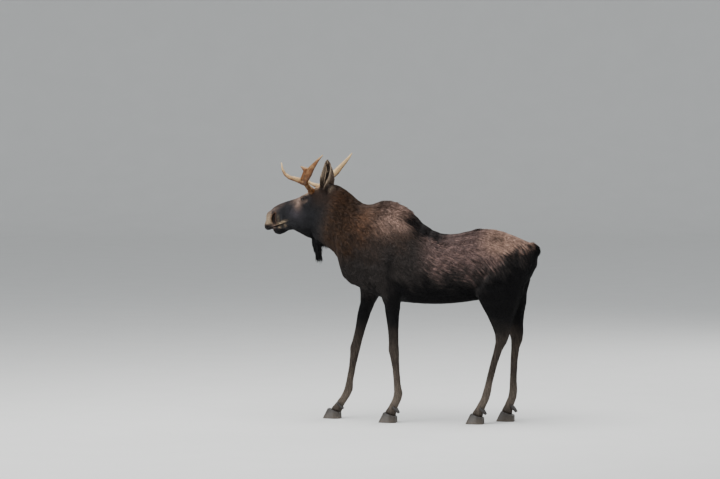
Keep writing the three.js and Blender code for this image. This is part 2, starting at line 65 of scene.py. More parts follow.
FLESH = ("head", "neck", "trunk", "tail", "bell", "ear_left", "ear_right") + tuple(
    f"{end}leg_{side}" for end in ENDS for side in SIDES
)
EYE = (0.684, 0.088, 1.772)
EYE_RADIUS = 0.0196
EYE_FACES = (0.36, 0.93, 0.06)  # ahead, out, up
EAR_ROOT = (0.516, 0.082, 1.858)
EAR_TIP = {"left": (0.452, 0.158, 2.094), "right": (0.554, 0.072, 2.062)}
EAR_FACES = {"left": (0.3, 1, 0.1), "right": (1, 0.5, 0.1)}
BELL = ((0.600, 0, 1.490), (0.609, 0, 1.444), (0.605, 0, 1.400), (0.597, 0, 1.356), (0.586, 0, 1.314))
TAIL = ((-1.100, 0, 1.427), (-1.172, 0, 1.412), (-1.198, 0, 1.388), (-1.204, 0, 1.352))
NOSTRIL = (
    (0.944, 0.075, 1.656),
    (0.957, 0.074, 1.637),
    (0.960, 0.072, 1.609),
    (0.957, 0.068, 1.590),
    (0.950, 0.060, 1.576),
)
# The line of the mouth on each side of the muzzle.
MOUTH = (
    (1.030, 0.018, 1.533),
    (0.992, 0.044, 1.540),
    (0.945, 0.038, 1.551),
    (0.895, 0.049, 1.567),
    (0.836, 0.065, 1.583),
)
# The outline of the animal's back: distances ahead of the hump, and the height of the top there.
TOP = (
    (-1.19, 1.390), (-1.11, 1.455), (-1.03, 1.489), (-0.95, 1.521), (-0.79, 1.552), (-0.63, 1.531),
    (-0.47, 1.508), (-0.39, 1.522), (-0.31, 1.566), (-0.23, 1.634), (-0.16, 1.698), (-0.10, 1.734),
    (-0.03, 1.768), (0.10, 1.761), (0.20, 1.748), (0.26, 1.773), (0.37, 1.861), (0.47, 1.897),
    (0.53, 1.888), (0.64, 1.847), (0.75, 1.791), (0.86, 1.754), (0.96, 1.714), (1.01, 1.655),
)
# The middle lines of an antler's beam, front, middle and rear tine.
ANTLER = {
    "left": (
        ((0.628, 0.056, 1.836), (0.622, 0.130, 1.868), (0.618, 0.205, 1.902), (0.620, 0.262, 1.938)),
        (
            (0.620, 0.240, 1.918), (0.664, 0.282, 1.940), (0.716, 0.306, 1.956), (0.764, 0.316, 1.998),
            (0.784, 0.312, 2.076),
        ),
        ((0.604, 0.262, 1.940), (0.582, 0.284, 1.988), (0.580, 0.298, 2.022), (0.622, 0.306, 2.048)),
        (
            (0.624, 0.240, 1.922), (0.572, 0.280, 1.978), (0.524, 0.304, 2.034), (0.474, 0.320, 2.086),
            (0.426, 0.324, 2.140),
        ),
    ),
    "right": (
        ((0.628, 0.056, 1.836), (0.622, 0.130, 1.868), (0.618, 0.205, 1.902), (0.622, 0.262, 1.938)),
        (
            (0.622, 0.150, 1.866), (0.676, 0.182, 1.872), (0.733, 0.220, 1.882), (0.788, 0.255, 1.904),
            (0.828, 0.280, 1.955),
        ),
        ((0.618, 0.262, 1.944), (0.612, 0.280, 1.976), (0.612, 0.290, 2.000), (0.622, 0.296, 2.022)),
        (
            (0.634, 0.240, 1.920), (0.574, 0.282, 1.966), (0.526, 0.306, 2.024), (0.474, 0.320, 2.084),
            (0.426, 0.324, 2.140),
        ),
    ),
}
ANTLER_BURR = (0.628, 0.066, 1.842)


# ------------------------------------------------------------------------------------------ small helpers
def linear(code):
    """A colour as linear light from an sRGB hex code: ((c + 0.055) / 1.055) ^ 2.4, or c / 12.92 when dark."""
    value = np.array([int(code[i : i + 2], 16) / 255 for i in (1, 3, 5)])
    return tuple(np.where(value <= 0.04045, value / 12.92, ((value + 0.055) / 1.055) ** 2.4))


def opaque(code):
    """The same with an alpha of 1."""
    return (*linear(code), 1)


def smooth(low, high, x):
    """0 up to low, 1 from high, and 3t^2 - 2t^3 between."""
    t = np.clip((x - low) / (high - low), 0, 1)
    return t * t * (3 - 2 * t)


def hill(distance, reach):
    """1 at no distance, falling as exp(-(distance / reach)^2)."""
    return np.exp(-((distance / reach) ** 2))


def unit(vectors):
    """Vectors at length 1."""
    return vectors / np.maximum(np.linalg.norm(vectors, axis=-1, keepdims=True), 1e-9)


def ripple(points, size, seed, waves=14, along=None, reach=4.0):
    """A smooth random field from about -1 to 1: the sum of sine waves about size long, each its own way. With
    along, the field is drawn out into streaks that way: each wave fades by sinc of its run along them."""
    rng = np.random.default_rng(seed)
    ways = unit(rng.normal(size=(waves, 3))) * rng.uniform(0.7, 1.5, (waves, 1))
    phases = rng.uniform(0, 2 * np.pi, waves)
    field = np.sin(points @ ways.T * (2 * np.pi / size) + phases)
    if along is None:
        return field.sum(1) / np.sqrt(waves)
    fade = np.sinc(reach * (along @ ways.T))
    return (field * fade).sum(1) / np.sqrt((fade**2).sum(1) + 0.5)


def drawn(places):
    """Frame points of places on the straight animal: along the arc of the bend, and straight on beyond it."""
    ahead, out, up = np.atleast_2d(np.asarray(places, float)).T
    turn = np.where(up < CHEST_FLOOR, 0, np.clip((ahead - BEND_FROM) / BEND_RADIUS, 0, HEAD_TURN))
    beyond = ahead - BEND_FROM - BEND_RADIUS * turn
    across = BEND_RADIUS - out
    x = -(BEND_FROM + across * np.sin(turn) + beyond * np.cos(turn))
    y = BEND_RADIUS - across * np.cos(turn) + beyond * np.sin(turn)
    return np.stack([x, y, up], 1) - SHIFT


def straight(points):
    """(ahead, out, up) of frame points, and how far the neck has turned there: the inverse of drawn."""
    x, y, z = (points + SHIFT).T
    beyond, across = -x - BEND_FROM, BEND_RADIUS - y
    turn = np.where(z < CHEST_FLOOR, 0, np.clip(np.arctan2(beyond, across), 0, HEAD_TURN))
    ahead = BEND_FROM + BEND_RADIUS * turn + beyond * np.cos(turn) - across * np.sin(turn)
    out = BEND_RADIUS - beyond * np.sin(turn) - across * np.cos(turn)
    return np.stack([ahead, out, z], 1), turn


def turned(ways, turn):
    """Frame directions of (ahead, out, up) directions where the neck has turned by turn."""
    ahead, out, up = ways.T
    x = -ahead * np.cos(turn) + out * np.sin(turn)
    y = ahead * np.sin(turn) + out * np.cos(turn)
    return np.stack([x, y, up], 1)


def on_head(ways, side=1):
    """Frame directions of (ahead, out, up) directions on the head, with out turned to that side."""
    ways = np.atleast_2d(np.asarray(ways, float)) * (1, side, 1)
    return turned(ways, np.full(len(ways), HEAD_TURN))


def at_side(place, side):
    """A place with its distance out on that side."""
    return (place[0], side * place[1], place[2])


def fold(place):
    """Places with their distance out made positive."""
    return np.abs(place * (0, 1, 0)) + place * (1, 0, 1)


def layered(value, *layers):
    """Values for points: a first one, and each (value, mask) laid over it in turn."""
    for wanted, mask in layers:
        value = value + (wanted - value) * mask
    return value


def beside(points, path):
    """How far along a path of straight lines each point lies, from 0 to 1, and its distance from the path."""
    path = np.asarray(path, float)
    lengths = np.linalg.norm(np.diff(path, axis=0), axis=1)
    begins = np.concatenate([[0], np.cumsum(lengths)])
    best = np.full(len(points), np.inf)
    share = np.zeros(len(points))
    for a, b, length, begin in zip(path[:-1], path[1:], lengths, begins[:-1]):
        t = np.clip((points - a) @ (b - a) / length**2, 0, 1)
        distance = np.linalg.norm(points - a - t[:, None] * (b - a), axis=1)
        nearer = distance < best
        best = np.where(nearer, distance, best)
        share = np.where(nearer, (begin + t * length) / begins[-1], share)
    return share, best


# ------------------------------------------------------------------------------------------ mesh in arrays
def mesh_from(name, points, faces):
    """A mesh from an array of points and an array of faces with equally many corners, shaded smooth."""
    faces = np.asarray(faces, np.int32)
    mesh = bpy.data.meshes.new(name)
    mesh.vertices.add(len(points))
    mesh.vertices.foreach_set("co", np.asarray(points, np.float32).ravel())
    mesh.loops.add(faces.size)
    mesh.loops.foreach_set("vertex_index", faces.ravel())
    mesh.polygons.add(len(faces))
    mesh.polygons.foreach_set("loop_start", np.arange(0, faces.size, faces.shape[1], dtype=np.int32))
    mesh.update(calc_edges=True)
    mesh.validate()
    mesh.polygons.foreach_set("use_smooth", np.ones(len(faces), bool))
    return mesh


def rows_of(items, key, width, kind=np.float32):
    """What a mesh's items hold under a key, as rows."""
    found = np.empty(len(items) * width, kind)
    items.foreach_get(key, found)
    return found.reshape(-1, width)


def points_of(mesh):
    """A mesh's vertices."""
    return rows_of(mesh.vertices, "co", 3).astype(float)


def normals_of(mesh):
    """A mesh's vertex normals."""
    return rows_of(mesh.vertices, "normal", 3).astype(float)


def triangles_of(mesh):
    """A mesh's triangles, as vertex numbers."""
    mesh.calc_loop_triangles()
    return rows_of(mesh.loop_triangles, "vertices", 3, np.int32)


def edges_of(mesh):
    """A mesh's edges, as vertex numbers."""
    return rows_of(mesh.edges, "vertices", 2, np.int32)


def move_points(mesh, points):
    """Writes a mesh's vertices."""
    mesh.vertices.foreach_set("co", np.asarray(points, np.float32).ravel())
    mesh.update()


def attribute(mesh, name, values):
    """Adds a number, a vector or a colour for each vertex."""
    values = np.asarray(values, np.float32).reshape(len(mesh.vertices), -1)
    kinds = {1: ("FLOAT", "value"), 3: ("FLOAT_VECTOR", "vector"), 4: ("FLOAT_COLOR", "color")}
    kind, key = kinds[values.shape[1]]
    mesh.attributes.new(name, kind, "POINT").data.foreach_set(key, values.ravel())


def colour_attribute(mesh, colours):
    """Adds the markings, painted light and shade among them, as one linear colour for each vertex."""
    attribute(mesh, "Markings", np.concatenate([colours, np.ones((len(colours), 1))], 1))


def relaxed(values, edges, pull, times):
    """Values moved towards the mean of their neighbours, times over, each by its own pull from 0 to 1."""
    count = len(values)
    a, b = edges.T
    around = np.bincount(a, minlength=count) + np.bincount(b, minlength=count)
    share = (pull / np.maximum(around, 1))[:, None]
    values = values.reshape(count, -1).copy()
    for _ in range(times):
        sums = [np.bincount(a, column[b], count) + np.bincount(b, column[a], count) for column in values.T]
        values += share * np.stack(sums, 1) - (pull * (around > 0))[:, None] * values
    return values


def show(name, mesh, materials, replaces=()):
    """Puts a mesh into the scene as a piece that rides on the model."""
    piece = bpy.data.objects.new(name, mesh)
    bpy.context.scene.collection.objects.link(piece)
    for material in materials:
        mesh.materials.append(material)
    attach(piece, "root")
    if replaces:
        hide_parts(*replaces)
    return piece


WEIGHT_STEPS = 10


def modified(mesh, kind, weights=None, **settings):
    """The mesh that one modifier makes of a mesh. Weights for its vertices go into the group it follows."""
    holder = bpy.data.objects.new("holder", mesh)
    bpy.context.scene.collection.objects.link(holder)
    if weights is not None:
        group = holder.vertex_groups.new(name="weights")
        settings["vertex_group"] = group.name
        for step in range(WEIGHT_STEPS + 1):
            chosen = np.nonzero(np.round(weights * WEIGHT_STEPS) == step)[0]
            group.add(chosen.tolist(), step / WEIGHT_STEPS, "REPLACE")
    modifier = holder.modifiers.new(kind, kind)
    for name, value in settings.items():
        setattr(modifier, name, value)
    graph = bpy.context.evaluated_depsgraph_get()
    made = bpy.data.meshes.new_from_object(holder.evaluated_get(graph))
    bpy.data.objects.remove(holder)
    return made


def gathered(name, groups):
    """One mesh of several groups of (points, triangles)."""
    starts = np.cumsum([0] + [len(points) for points, _ in groups])
    faces = [triangles + start for (_, triangles), start in zip(groups, starts)]
    return mesh_from(name, np.concatenate([points for points, _ in groups]), np.concatenate(faces))


def fused(nodes, voxel, swell=0.0006):
    """One closed mesh round copies of solids: doubles merged, each copy's surface moved out by swell so that
    neighbours overlap, and the whole remeshed in voxels."""
    copies = []
    for node in nodes:
        copy = bmesh.new()
        copy.from_mesh(NODES[node].data)
        bmesh.ops.remove_doubles(copy, verts=copy.verts, dist=1e-5)
        mesh = bpy.data.meshes.new(node)
        copy.to_mesh(mesh)
        copy.free()
        copies.append((points_of(mesh) + swell * normals_of(mesh), triangles_of(mesh)))
        bpy.data.meshes.remove(mesh)
    whole = gathered("fused", copies)
    return modified(whole, "REMESH", mode="VOXEL", voxel_size=voxel, use_smooth_shade=True)


def softened(mesh, pull, times, restored):
    """A mesh's points smoothed, and then moved back out by what the smoothing took, itself smoothed over so
    many rounds, so that thin parts keep their girth."""
    before, edges, normals = points_of(mesh), edges_of(mesh), normals_of(mesh)
    points = relaxed(before, edges, pull, times)
    lost = np.einsum("ij,ij->i", before - points, normals)
    return points + normals * relaxed(lost, edges, np.ones(len(points)), restored)


# ---------------------------------------------------------------------------------- where things are on it
def ear_frame(name):
    """An ear's root, and its directions along its length and out of its opening."""
    side = SIDES[name]
    root, tip = drawn([at_side(EAR_ROOT, side), at_side(EAR_TIP[name], side)])
    along = unit(tip - root)
    faces = on_head(EAR_FACES[name], side)[0]
    return root, along, unit(faces - along * (faces @ along))


def ear_share(points, name):
    """How far up an ear points lie, from 0 to 1, and their distance from its middle line."""
    side = SIDES[name]
    return beside(points, drawn([at_side(EAR_ROOT, side), at_side(EAR_TIP[name], side)]))


def ear_mask(points):
    """1 on the ears, 0 on the head."""
    mask = np.zeros(len(points))
    for name in SIDES:
        share, distance = ear_share(points, name)
        mask = np.maximum(mask, smooth(0.16, 0.32, share) * (distance < 0.085))
    return mask


def bell_mask(points):
    """1 on the bell."""
    share, distance = beside(points, drawn(BELL))
    return smooth(0.10, 0.35, share) * smooth(0.085, 0.06, distance)


def tail_mask(points):
    """1 on the tail."""
    share, distance = beside(points, drawn(TAIL))
    return smooth(0.15, 0.5, share) * smooth(0.075, 0.055, distance)


def leg_mask(place):
    """1 on the free part of the legs, under the belly."""
    return smooth(1.02, 0.84, place[:, 2])


def head_mask(place):
    """1 ahead of the throat."""
    ahead, _, up = place.T
    return smooth(0.46, 0.60, ahead + 0.25 * (up - 1.65))


def mane_mask(place, normals):
    """1 on the crest of the neck and hump, where the hair is longest."""
    ahead = place[:, 0]
    along = smooth(-0.50, -0.25, ahead) * smooth(0.56, 0.30, ahead)
    return along * smooth(0.50, 0.9, normals[:, 2])


def tuft_mask(place):
    """1 on the tuft that stands up on the middle of the back."""
    ahead, out, up = place.T
    return hill(ahead + 0.680, 0.034) * smooth(0.050, 0.020, np.abs(out)) * smooth(1.44, 1.49, up)


def coat_depth(points, normals):
    """How deep the skin lies under the tips of the coat."""
    place, _ = straight(points)
    return layered(
        0.0060 + 0.0050 * mane_mask(place, normals),
        (0.0012, head_mask(place)),
        (0.0030, leg_mask(place)),
        (0.0015, smooth(0.24, 0.14, place[:, 2])),
        (0.0050, bell_mask(points)),
        (0.0090, tail_mask(points)),
        (0.0008, ear_mask(points)),
    )


# The lie of the coat: (place), (direction), each as ahead, out, up. Between these it turns smoothly.
LIE = (
    ((1.04, 0.00, 1.60), (-0.6, 0.2, 0.8)),
    ((0.98, 0.06, 1.70), (-1.0, 0.1, 0.1)),
    ((0.85, 0.03, 1.74), (-1.0, 0.1, 0.2)),
    ((0.97, 0.08, 1.56), (-0.8, 0.0, -0.5)),
    ((0.84, 0.07, 1.62), (-1.0, 0.0, -0.1)),
    ((0.68, 0.02, 1.83), (-1.0, 0.0, 0.3)),
    ((0.72, 0.10, 1.65), (-0.95, 0.0, -0.25)),
    ((0.80, 0.05, 1.51), (-1.0, 0.0, -0.1)),
    ((0.62, 0.10, 1.50), (-0.8, 0.0, -0.5)),
    ((0.45, 0.00, 1.88), (-1.0, 0.0, -0.1)),
    ((0.47, 0.13, 1.65), (-0.85, 0.0, -0.5)),
    ((0.46, 0.08, 1.38), (-0.5, 0.0, -0.8)),
    ((0.25, 0.00, 1.77), (-1.0, 0.1, -0.1)),
    ((0.28, 0.18, 1.50), (-0.65, 0.0, -0.75)),
    ((0.28, 0.08, 1.15), (-0.25, 0.1, -0.95)),
    ((0.00, 0.02, 1.76), (-1.0, 0.15, -0.15)),
    ((0.02, 0.22, 1.48), (-0.6, 0.0, -0.8)),
    ((0.10, 0.20, 1.15), (-0.3, 0.0, -0.95)),
    ((-0.30, 0.03, 1.60), (-1.0, 0.3, -0.3)),
    ((-0.28, 0.24, 1.30), (-0.8, 0.0, -0.55)),
    ((-0.60, 0.03, 1.52), (-1.0, 0.25, -0.05)),
    ((-0.55, 0.24, 1.25), (-0.95, 0.0, -0.32)),
    ((-0.45, 0.18, 0.97), (-0.9, 0.1, -0.25)),
    ((-0.45, 0.00, 0.95), (-1.0, 0.0, -0.05)),
    ((-0.95, 0.04, 1.52), (-1.0, 0.3, -0.15)),
    ((-0.88, 0.20, 1.42), (-0.9, 0.0, -0.45)),
    ((-0.90, 0.22, 1.24), (-0.55, 0.0, -0.85)),
    ((-1.15, 0.10, 1.38), (-0.5, 0.1, -0.9)),
    ((-1.15, 0.06, 1.22), (-0.1, 0.0, -1.0)),
    ((-0.95, 0.15, 1.02), (-0.2, 0.0, -1.0)),
    ((-0.95, 0.12, 0.60), (-0.1, 0.0, -1.0)),
    ((-0.95, 0.12, 0.15), (-0.05, 0.0, -1.0)),
    ((0.08, 0.14, 0.80), (-0.1, 0.0, -1.0)),
    ((0.05, 0.13, 0.15), (0.0, 0.0, -1.0)),
)
LIE_REACH = 0.16


def lie_of_coat(points, normals):
    """The way the hair lies: the mean of the directions in LIE on the animal folded about its midline, each
    weighted by exp(-3 (distance - the nearest's) / reach), then laid flat on the surface. Ears, bell and tail
    follow their length."""
    place, turn = straight(points)
    at, ways = (np.array(column) for column in zip(*LIE))
    apart = np.linalg.norm(fold(place)[:, None] - at[None], axis=2)
    weight = np.exp(-((apart - apart.min(1, keepdims=True)) / LIE_REACH) * 3)
    way = weight @ unit(ways)
    way[:, 1] *= np.where(place[:, 1] < 0, -1.0, 1.0)
    way = turned(unit(way), turn)
    follows = []
    for name in SIDES:
        share, distance = ear_share(points, name)
        follows.append((smooth(0.02, 0.16, share) * (distance < 0.09), ear_frame(name)[1]))
    follows += [(bell_mask(points), (0.12, 0, -1.0)), (tail_mask(points), (0.45, 0, -0.9))]
    for mask, wanted in follows:
        way = way * (1 - mask[:, None]) + np.array(wanted) * mask[:, None]
    return unit(way - normals * np.einsum("ij,ij->i", way, normals)[:, None])


def markings(points, normals):
    """The colour of the hair: the dark brown of the body, with each marking laid over it by a smooth mask of
    the place on the straight animal. Streaks along the lie of the coat break up every edge. Some marks are
    painted light and shade: a reddish sheen on the neck, a blue-grey sheen on the cheek, a reflection of the
    sky on the back, sunlight on the hump and hips, a highlight under the eye, shade along a fold of the neck
    and a crease behind the shoulder, and a shadow over the eye."""
    tint = bpy.context.scene.moose_colours
    place, _ = straight(points)
    folded = fold(place)
    ahead, out, up = folded.T
    lie = lie_of_coat(points, normals)
    streak = ripple(points, 0.018, 21, 70, lie, 3.0)
    fine = ripple(points, 0.009, 22, 70, lie, 4.0)
    mottle = ripple(points, 0.20, 3) + 0.5 * ripple(points, 0.09, 4)
    cloud = ripple(points, 0.055, 23, 30)
    wide = 0.03 * mottle + 0.010 * streak
    loose = wide + 0.013 * streak + 0.016 * cloud
    ragged = 0.004 * fine + 0.003 * cloud
    below = np.interp(ahead, *zip(*TOP)) - up
    colour = np.tile(np.array(tint.body[:3]), (len(points), 1))

    def lay(name, mask):
        strength = np.clip(mask, 0, 1)[:, None]
        colour[:] = colour * (1 - strength) + np.array(getattr(tint, name)[:3]) * strength

    def spot(middle, reach, stray=0):
        """An oval on the animal's side round a middle (ahead, up), moved down by stray."""
        return hill(np.hypot((ahead - middle[0]) / reach[0], (up - middle[1] + stray) / reach[1]), 1.0)

    def ball(middle, scale=1):
        """The distance from a place on either side of the animal."""
        return np.linalg.norm((folded - middle) * scale, axis=1)

    torso = 1 - head_mask(place)
    # The neck is brown, partly a painted reddish sheen, with an orange-brown patch ahead of the shoulder and
    # painted shade along a fold through it.
    neck = hill(ahead - 0.38, 0.26) * smooth(1.26, 1.44, up + wide)
    lay("brown_and_sheen", torso * neck * (0.82 + 0.14 * streak + 0.10 * cloud))
    lay("rust", 0.68 * spot((0.17, 1.60), (0.13, 0.115), wide) * (0.85 + 0.20 * streak))
    lay("rust", 0.32 * spot((0.42, 1.81), (0.11, 0.07)))
    # Paler over the shoulder blade and along the top of the hump, fading down the ribs: pale hair, partly
    # painted sunlight from above.
    blade = hill(np.hypot((ahead + 0.075 + 0.4 * (up - 1.64)) / 0.16, (up - 1.66 + 0.6 * wide) / 0.12), 1.0)
    lay("hump", 1.25 * blade * (0.82 + 0.16 * streak))
    lay("hump", 0.32 * smooth(0.10, 0.02, ahead) * smooth(-0.16, -0.10, ahead) * smooth(0.07, 0.02, below))
    # Brown behind the shoulder, partly a painted reddish sheen.
    lay("brown_and_sheen", 0.55 * spot((-0.14, 1.50), (0.20, 0.10), wide) * (0.8 + 0.20 * streak))
    # Painted shade along a fold of the neck, laid in black.
    _, fold_shade = beside(place * (1, 0, 1), ((0.03, 0, 1.70), (0.10, 0, 1.625), (0.27, 0, 1.49)))
    lay("black", 0.50 * hill(fold_shade + 0.3 * wide, 0.022) * smooth(0.05, 0.12, out))
    # Rosy grey-brown over the back and flank, partly a painted reflection of the sky, and paler over the hips
    # and along streaks of the back, partly painted sunlight and sheen.
    haunch = 1.42 - 0.61 * (ahead + 1.17)
    above = up - np.maximum(1.175, np.where(ahead < -0.60, haunch, 0))
    back = smooth(-0.20, -0.44, ahead) * smooth(-0.03, 0.17, above + loose)
    lay("back", back * (0.74 + 0.08 * streak + 0.10 * cloud))
    hips = smooth(-0.66, -0.90, ahead) * smooth(-0.01, 0.13, above + loose) * smooth(0.24, 0.10, below)
    lay("croup_and_painted_light", 0.95 * hips * (0.84 + 0.12 * streak + 0.08 * cloud))
    # Painted sheen along the streaks of the back.
    lay("croup_and_painted_light", 0.17 * back * smooth(0.2, 1.3, streak))
    lay("black", 0.55 * hill(np.hypot((ahead + 0.88) / 0.055, (below - 0.055) / 0.03), 1.0))
    lay("black", 0.50 * hill(np.hypot((ahead + 0.585 + wide) / 0.045, (below - 0.066) / 0.013), 1.0))
    lay("black", 0.70 * tuft_mask(place))
    # Black along the crest, down the back of the hump, under the body and on the hindquarters, and painted
    # shade in the crease behind the shoulder.
    saddle = smooth(-0.02, -0.20, ahead + wide) * smooth(-0.56, -0.38, ahead + loose)
    lay("black", 0.94 * saddle * smooth(0.150, 0.060, below + loose))
    crest = smooth(-0.12, -0.05, ahead) * smooth(0.060, 0.014, below + 0.5 * wide) * torso
    lay("black", 0.22 * crest * smooth(0.50, 0.20, ahead))
    spine = smooth(-0.40, -0.50, ahead) * smooth(-0.78, -0.66, ahead) * smooth(0.05, 0.01, below)
    lay("black", 0.45 * spine)
    lay("black", smooth(0.08, -0.13, above + loose) * smooth(0.0, -0.12, ahead))
    lay("black", 0.85 * torso * smooth(1.14, 0.98, up + loose))
    lay("black", 0.25 * smooth(1.42, 1.15, up + wide) * smooth(-0.14, -0.04, ahead) * torso)
    # Painted shade: a black band down the crease between the shoulder and the ribs.
    lay("black", 0.55 * hill(ahead + 0.035 + 0.3 * wide, 0.022) * smooth(1.42, 1.34, up))
    lay("black", 0.90 * smooth(-1.145, -1.180, ahead + 0.25 * (up - 1.42)) * smooth(1.46, 1.43, up))
    # The head is blue-black, with a paler painted blue-grey sheen on the cheek, and paler along the top of
    # the nose.
    face = head_mask(place)
    lay("head", 0.95 * face)
    temple = face * smooth(0.68, 0.54, ahead) * smooth(1.66, 1.80, up)
    lay("brown_and_sheen", 0.75 * temple * (0.8 + 0.2 * streak))
    # Painted sheen: blue-grey on the cheek.
    lay("cheek", 0.60 * spot((0.755, 1.665), (0.065, 0.05)))
    ridge = smooth(0.055, 0.012, below) * smooth(0.60, 0.66, ahead)
    lay("brow", 0.75 * ridge * smooth(0.86, 0.76, ahead) * (0.85 + 0.15 * streak))
    lay("nose", 0.65 * smooth(0.028, 0.008, below) * smooth(0.61, 0.66, ahead) * smooth(0.76, 0.70, ahead))
    lay("brow", 0.20 * ridge * smooth(0.84, 0.90, ahead) * smooth(1.0, 0.95, ahead))
    # Rosy brown before and over the eye, a painted rosy highlight under it and a painted shadow over it,
    # black in the socket, and rust round the foot of the antler.
    lay("brow", 1.00 * spot((0.742, 1.745), (0.036, 0.050)) * (out > 0.03))
    lay("brow", 0.45 * spot((0.700, 1.812), (0.022, 0.022)) * (out > 0.04))
    socket = ball(EYE, (1, 0.6, 1.20))
    # Painted highlight: rosy under the eye.
    lay("brow", 0.55 * smooth(0.046, 0.026, socket) * smooth(1.786, 1.764, up))
    # Painted shadow of the brow: a thin black band over the eye.
    lay("black", 0.75 * spot((0.676, 1.797), (0.034, 0.009)) * (out > 0.03))
    lay("black", 0.45 * smooth(0.030, 0.019, socket))
    lay("rust", 0.55 * hill(ball((0.612, 0.055, 1.852), (1, 0.8, 1)), 0.040) * (0.8 + 0.2 * streak))
    lay("nose", 0.30 * hill(ball((0.590, 0.040, 1.868)), 0.024))
    # A tan front of the nose, pale lips, and black nostrils with a rusty edge.
    _, nostril = nostril_edge(points)
    front = smooth(0.962, 0.980, ahead + ragged - 0.10 * (up - 1.62))
    lay("brow", 0.55 * front * smooth(1.715, 1.67, up))
    front *= smooth(1.552, 1.588, up + ragged) * smooth(1.690, 1.615, up + ragged)
    lay("nose", 0.76 * front * (0.88 + 0.14 * fine))
    lay("brow", 0.35 * spot((0.952, 1.688), (0.030, 0.022)))
    lay("nose", 0.24 * spot((0.919, 1.612), (0.011, 0.032)) * (out > 0.03))
    lay("rust", 0.55 * smooth(0.012, 0.001, nostril))
    lay("black", 0.90 * smooth(0.001, -0.003, nostril))
    lay("black", 0.90 * smooth(0.960, 0.990, ahead) * smooth(1.576, 1.552, up + ragged))
    rise = up - 1.581 - 0.40 * (0.892 - ahead)
    lip = hill(np.hypot((ahead - 0.892) / 0.036, (rise - ragged) / 0.0095), 1.0)
    lay("nose", 1.15 * lip * (0.85 + 0.25 * fine) * (out > 0.03))
    for at, strength in (((0.918, 1.545), 0.52), ((0.868, 1.561), 0.46)):
        slant = ahead - at[0] + 0.3 * (up - at[1]) + ragged
        low_lip = hill(np.hypot(slant / 0.0120, (up - at[1]) / 0.016), 1.0)
        lay("nose", strength * low_lip * (0.85 + 0.2 * fine) * (out > 0.02))
    lay("brow", 0.40 * spot((0.962, 1.553), (0.018, 0.018)) * (out > 0.03))
    lay("black", 0.85 * face * smooth(0.84, 0.90, ahead) * smooth(1.542, 1.526, up))
    lay("black", 0.80 * face * smooth(0.56, 0.64, ahead) * smooth(0.88, 0.82, ahead) * smooth(1.58, 1.52, up))
    share, mouth = muzzle_line(points, MOUTH)
    lay("black", 0.95 * smooth(0.0075, 0.0035, mouth + 0.004 * smooth(0.6, 1.0, share)))
    # Legs: dark at the top, grey-brown below the knee and hock. The bell and tail are black.
    lay("black", 0.85 * leg_mask(place))
    lay("shin", 0.75 * smooth(0.86, 0.55, up + 0.8 * wide) * (0.85 + 0.2 * streak))
    lay("foot", 0.6 * smooth(0.42, 0.22, up + wide))
    lay("black", 0.45 * smooth(0.15, 0.09, up))
    lay("black", 0.95 * bell_mask(points) * (0.9 - 0.15 * streak))
    lay("black", 0.85 * tail_mask(points))
    # Ears: brown behind, dark inside between pale edges and streaks, with a pale tuft at the root.
    for name in SIDES:
        share, distance = ear_share(points, name)
        mask = smooth(0.0, 0.16, share) * (distance < 0.075)
        root, along, faces = ear_frame(name)
        inside = smooth(0.15, 0.55, normals @ faces)
        offset = np.abs((points - root) @ np.cross(along, faces))
        lay("ear", 0.92 * mask * (0.9 + 0.15 * fine))
        lay("black", 0.85 * mask * inside * smooth(0.026, 0.014, offset) * smooth(0.92, 0.7, share))
        lay("ear_lining", 0.75 * mask * inside * smooth(0.2, 1.0, streak))
        lay("ear_lining", 0.55 * mask * smooth(0.020, 0.034, offset) * smooth(0.1, 0.4, share))
        lay("black", 0.3 * mask * smooth(0.88, 1.0, share))
    lay("ear_lining", 0.38 * hill(ball((0.478, 0.060, 1.872), (2.6, 0.8, 0.8)), 0.030))
    shade = 0.93 + 0.10 * streak + 0.10 * fine + 0.07 * cloud
    return colour * np.clip(shade, 0.55, 1.6)[:, None]


# -------------------------------------------------------------------------------------------- materials
def add(tree, kind, inputs=(), **settings):
    """Adds a node: its own settings by name, and for each input a value, or another node's output to link."""
    node = tree.nodes.new(kind)
    for name, value in settings.items():
        setattr(node, name, value)
    for name, value in dict(inputs).items():
        if isinstance(value, bpy.types.NodeSocket):
            tree.links.new(value, node.inputs[name])
        else:
            node.inputs[name].default_value = value
    return node


def new_material(name):
    """An empty node material and its tree."""
    material = bpy.data.materials.new(name)
    material.use_nodes = True
    return material, material.node_tree


def own(tree, name, output="Fac"):
    """A value of the mesh's own, from an attribute."""
    return add(tree, "ShaderNodeAttribute", attribute_name=name).outputs[output]


def object_place(tree):
    """The place in the object's coordinates, in metres."""
    return add(tree, "ShaderNodeTexCoord").outputs["Object"]


def stretched(tree, vector, scale):
    """A vector scaled along each axis."""
    return add(tree, "ShaderNodeMapping", {"Vector": vector, "Scale": scale}).outputs[0]


def length_of(tree, vector):
    """A vector's length."""
    return add(tree, "ShaderNodeVectorMath", {0: vector}, operation="LENGTH").outputs["Value"]


def noise(tree, vector, scale, detail):
    """Cloudy noise from 0 to 1."""
    inputs = {"Vector": vector, "Scale": scale, "Detail": detail}
    return add(tree, "ShaderNodeTexNoise", inputs).outputs["Fac"]


def ranged(tree, value, low, high, from_low=0.0, from_high=1.0):
    """A number carried from one range to another, and held inside it."""
    inputs = {"Value": value, "From Min": from_low, "From Max": from_high, "To Min": low, "To Max": high}
    return add(tree, "ShaderNodeMapRange", inputs).outputs[0]


def combined(tree, operation, a, b, **settings):
    """Two numbers added or multiplied."""
    return add(tree, "ShaderNodeMath", {0: a, 1: b}, operation=operation, **settings).outputs[0]


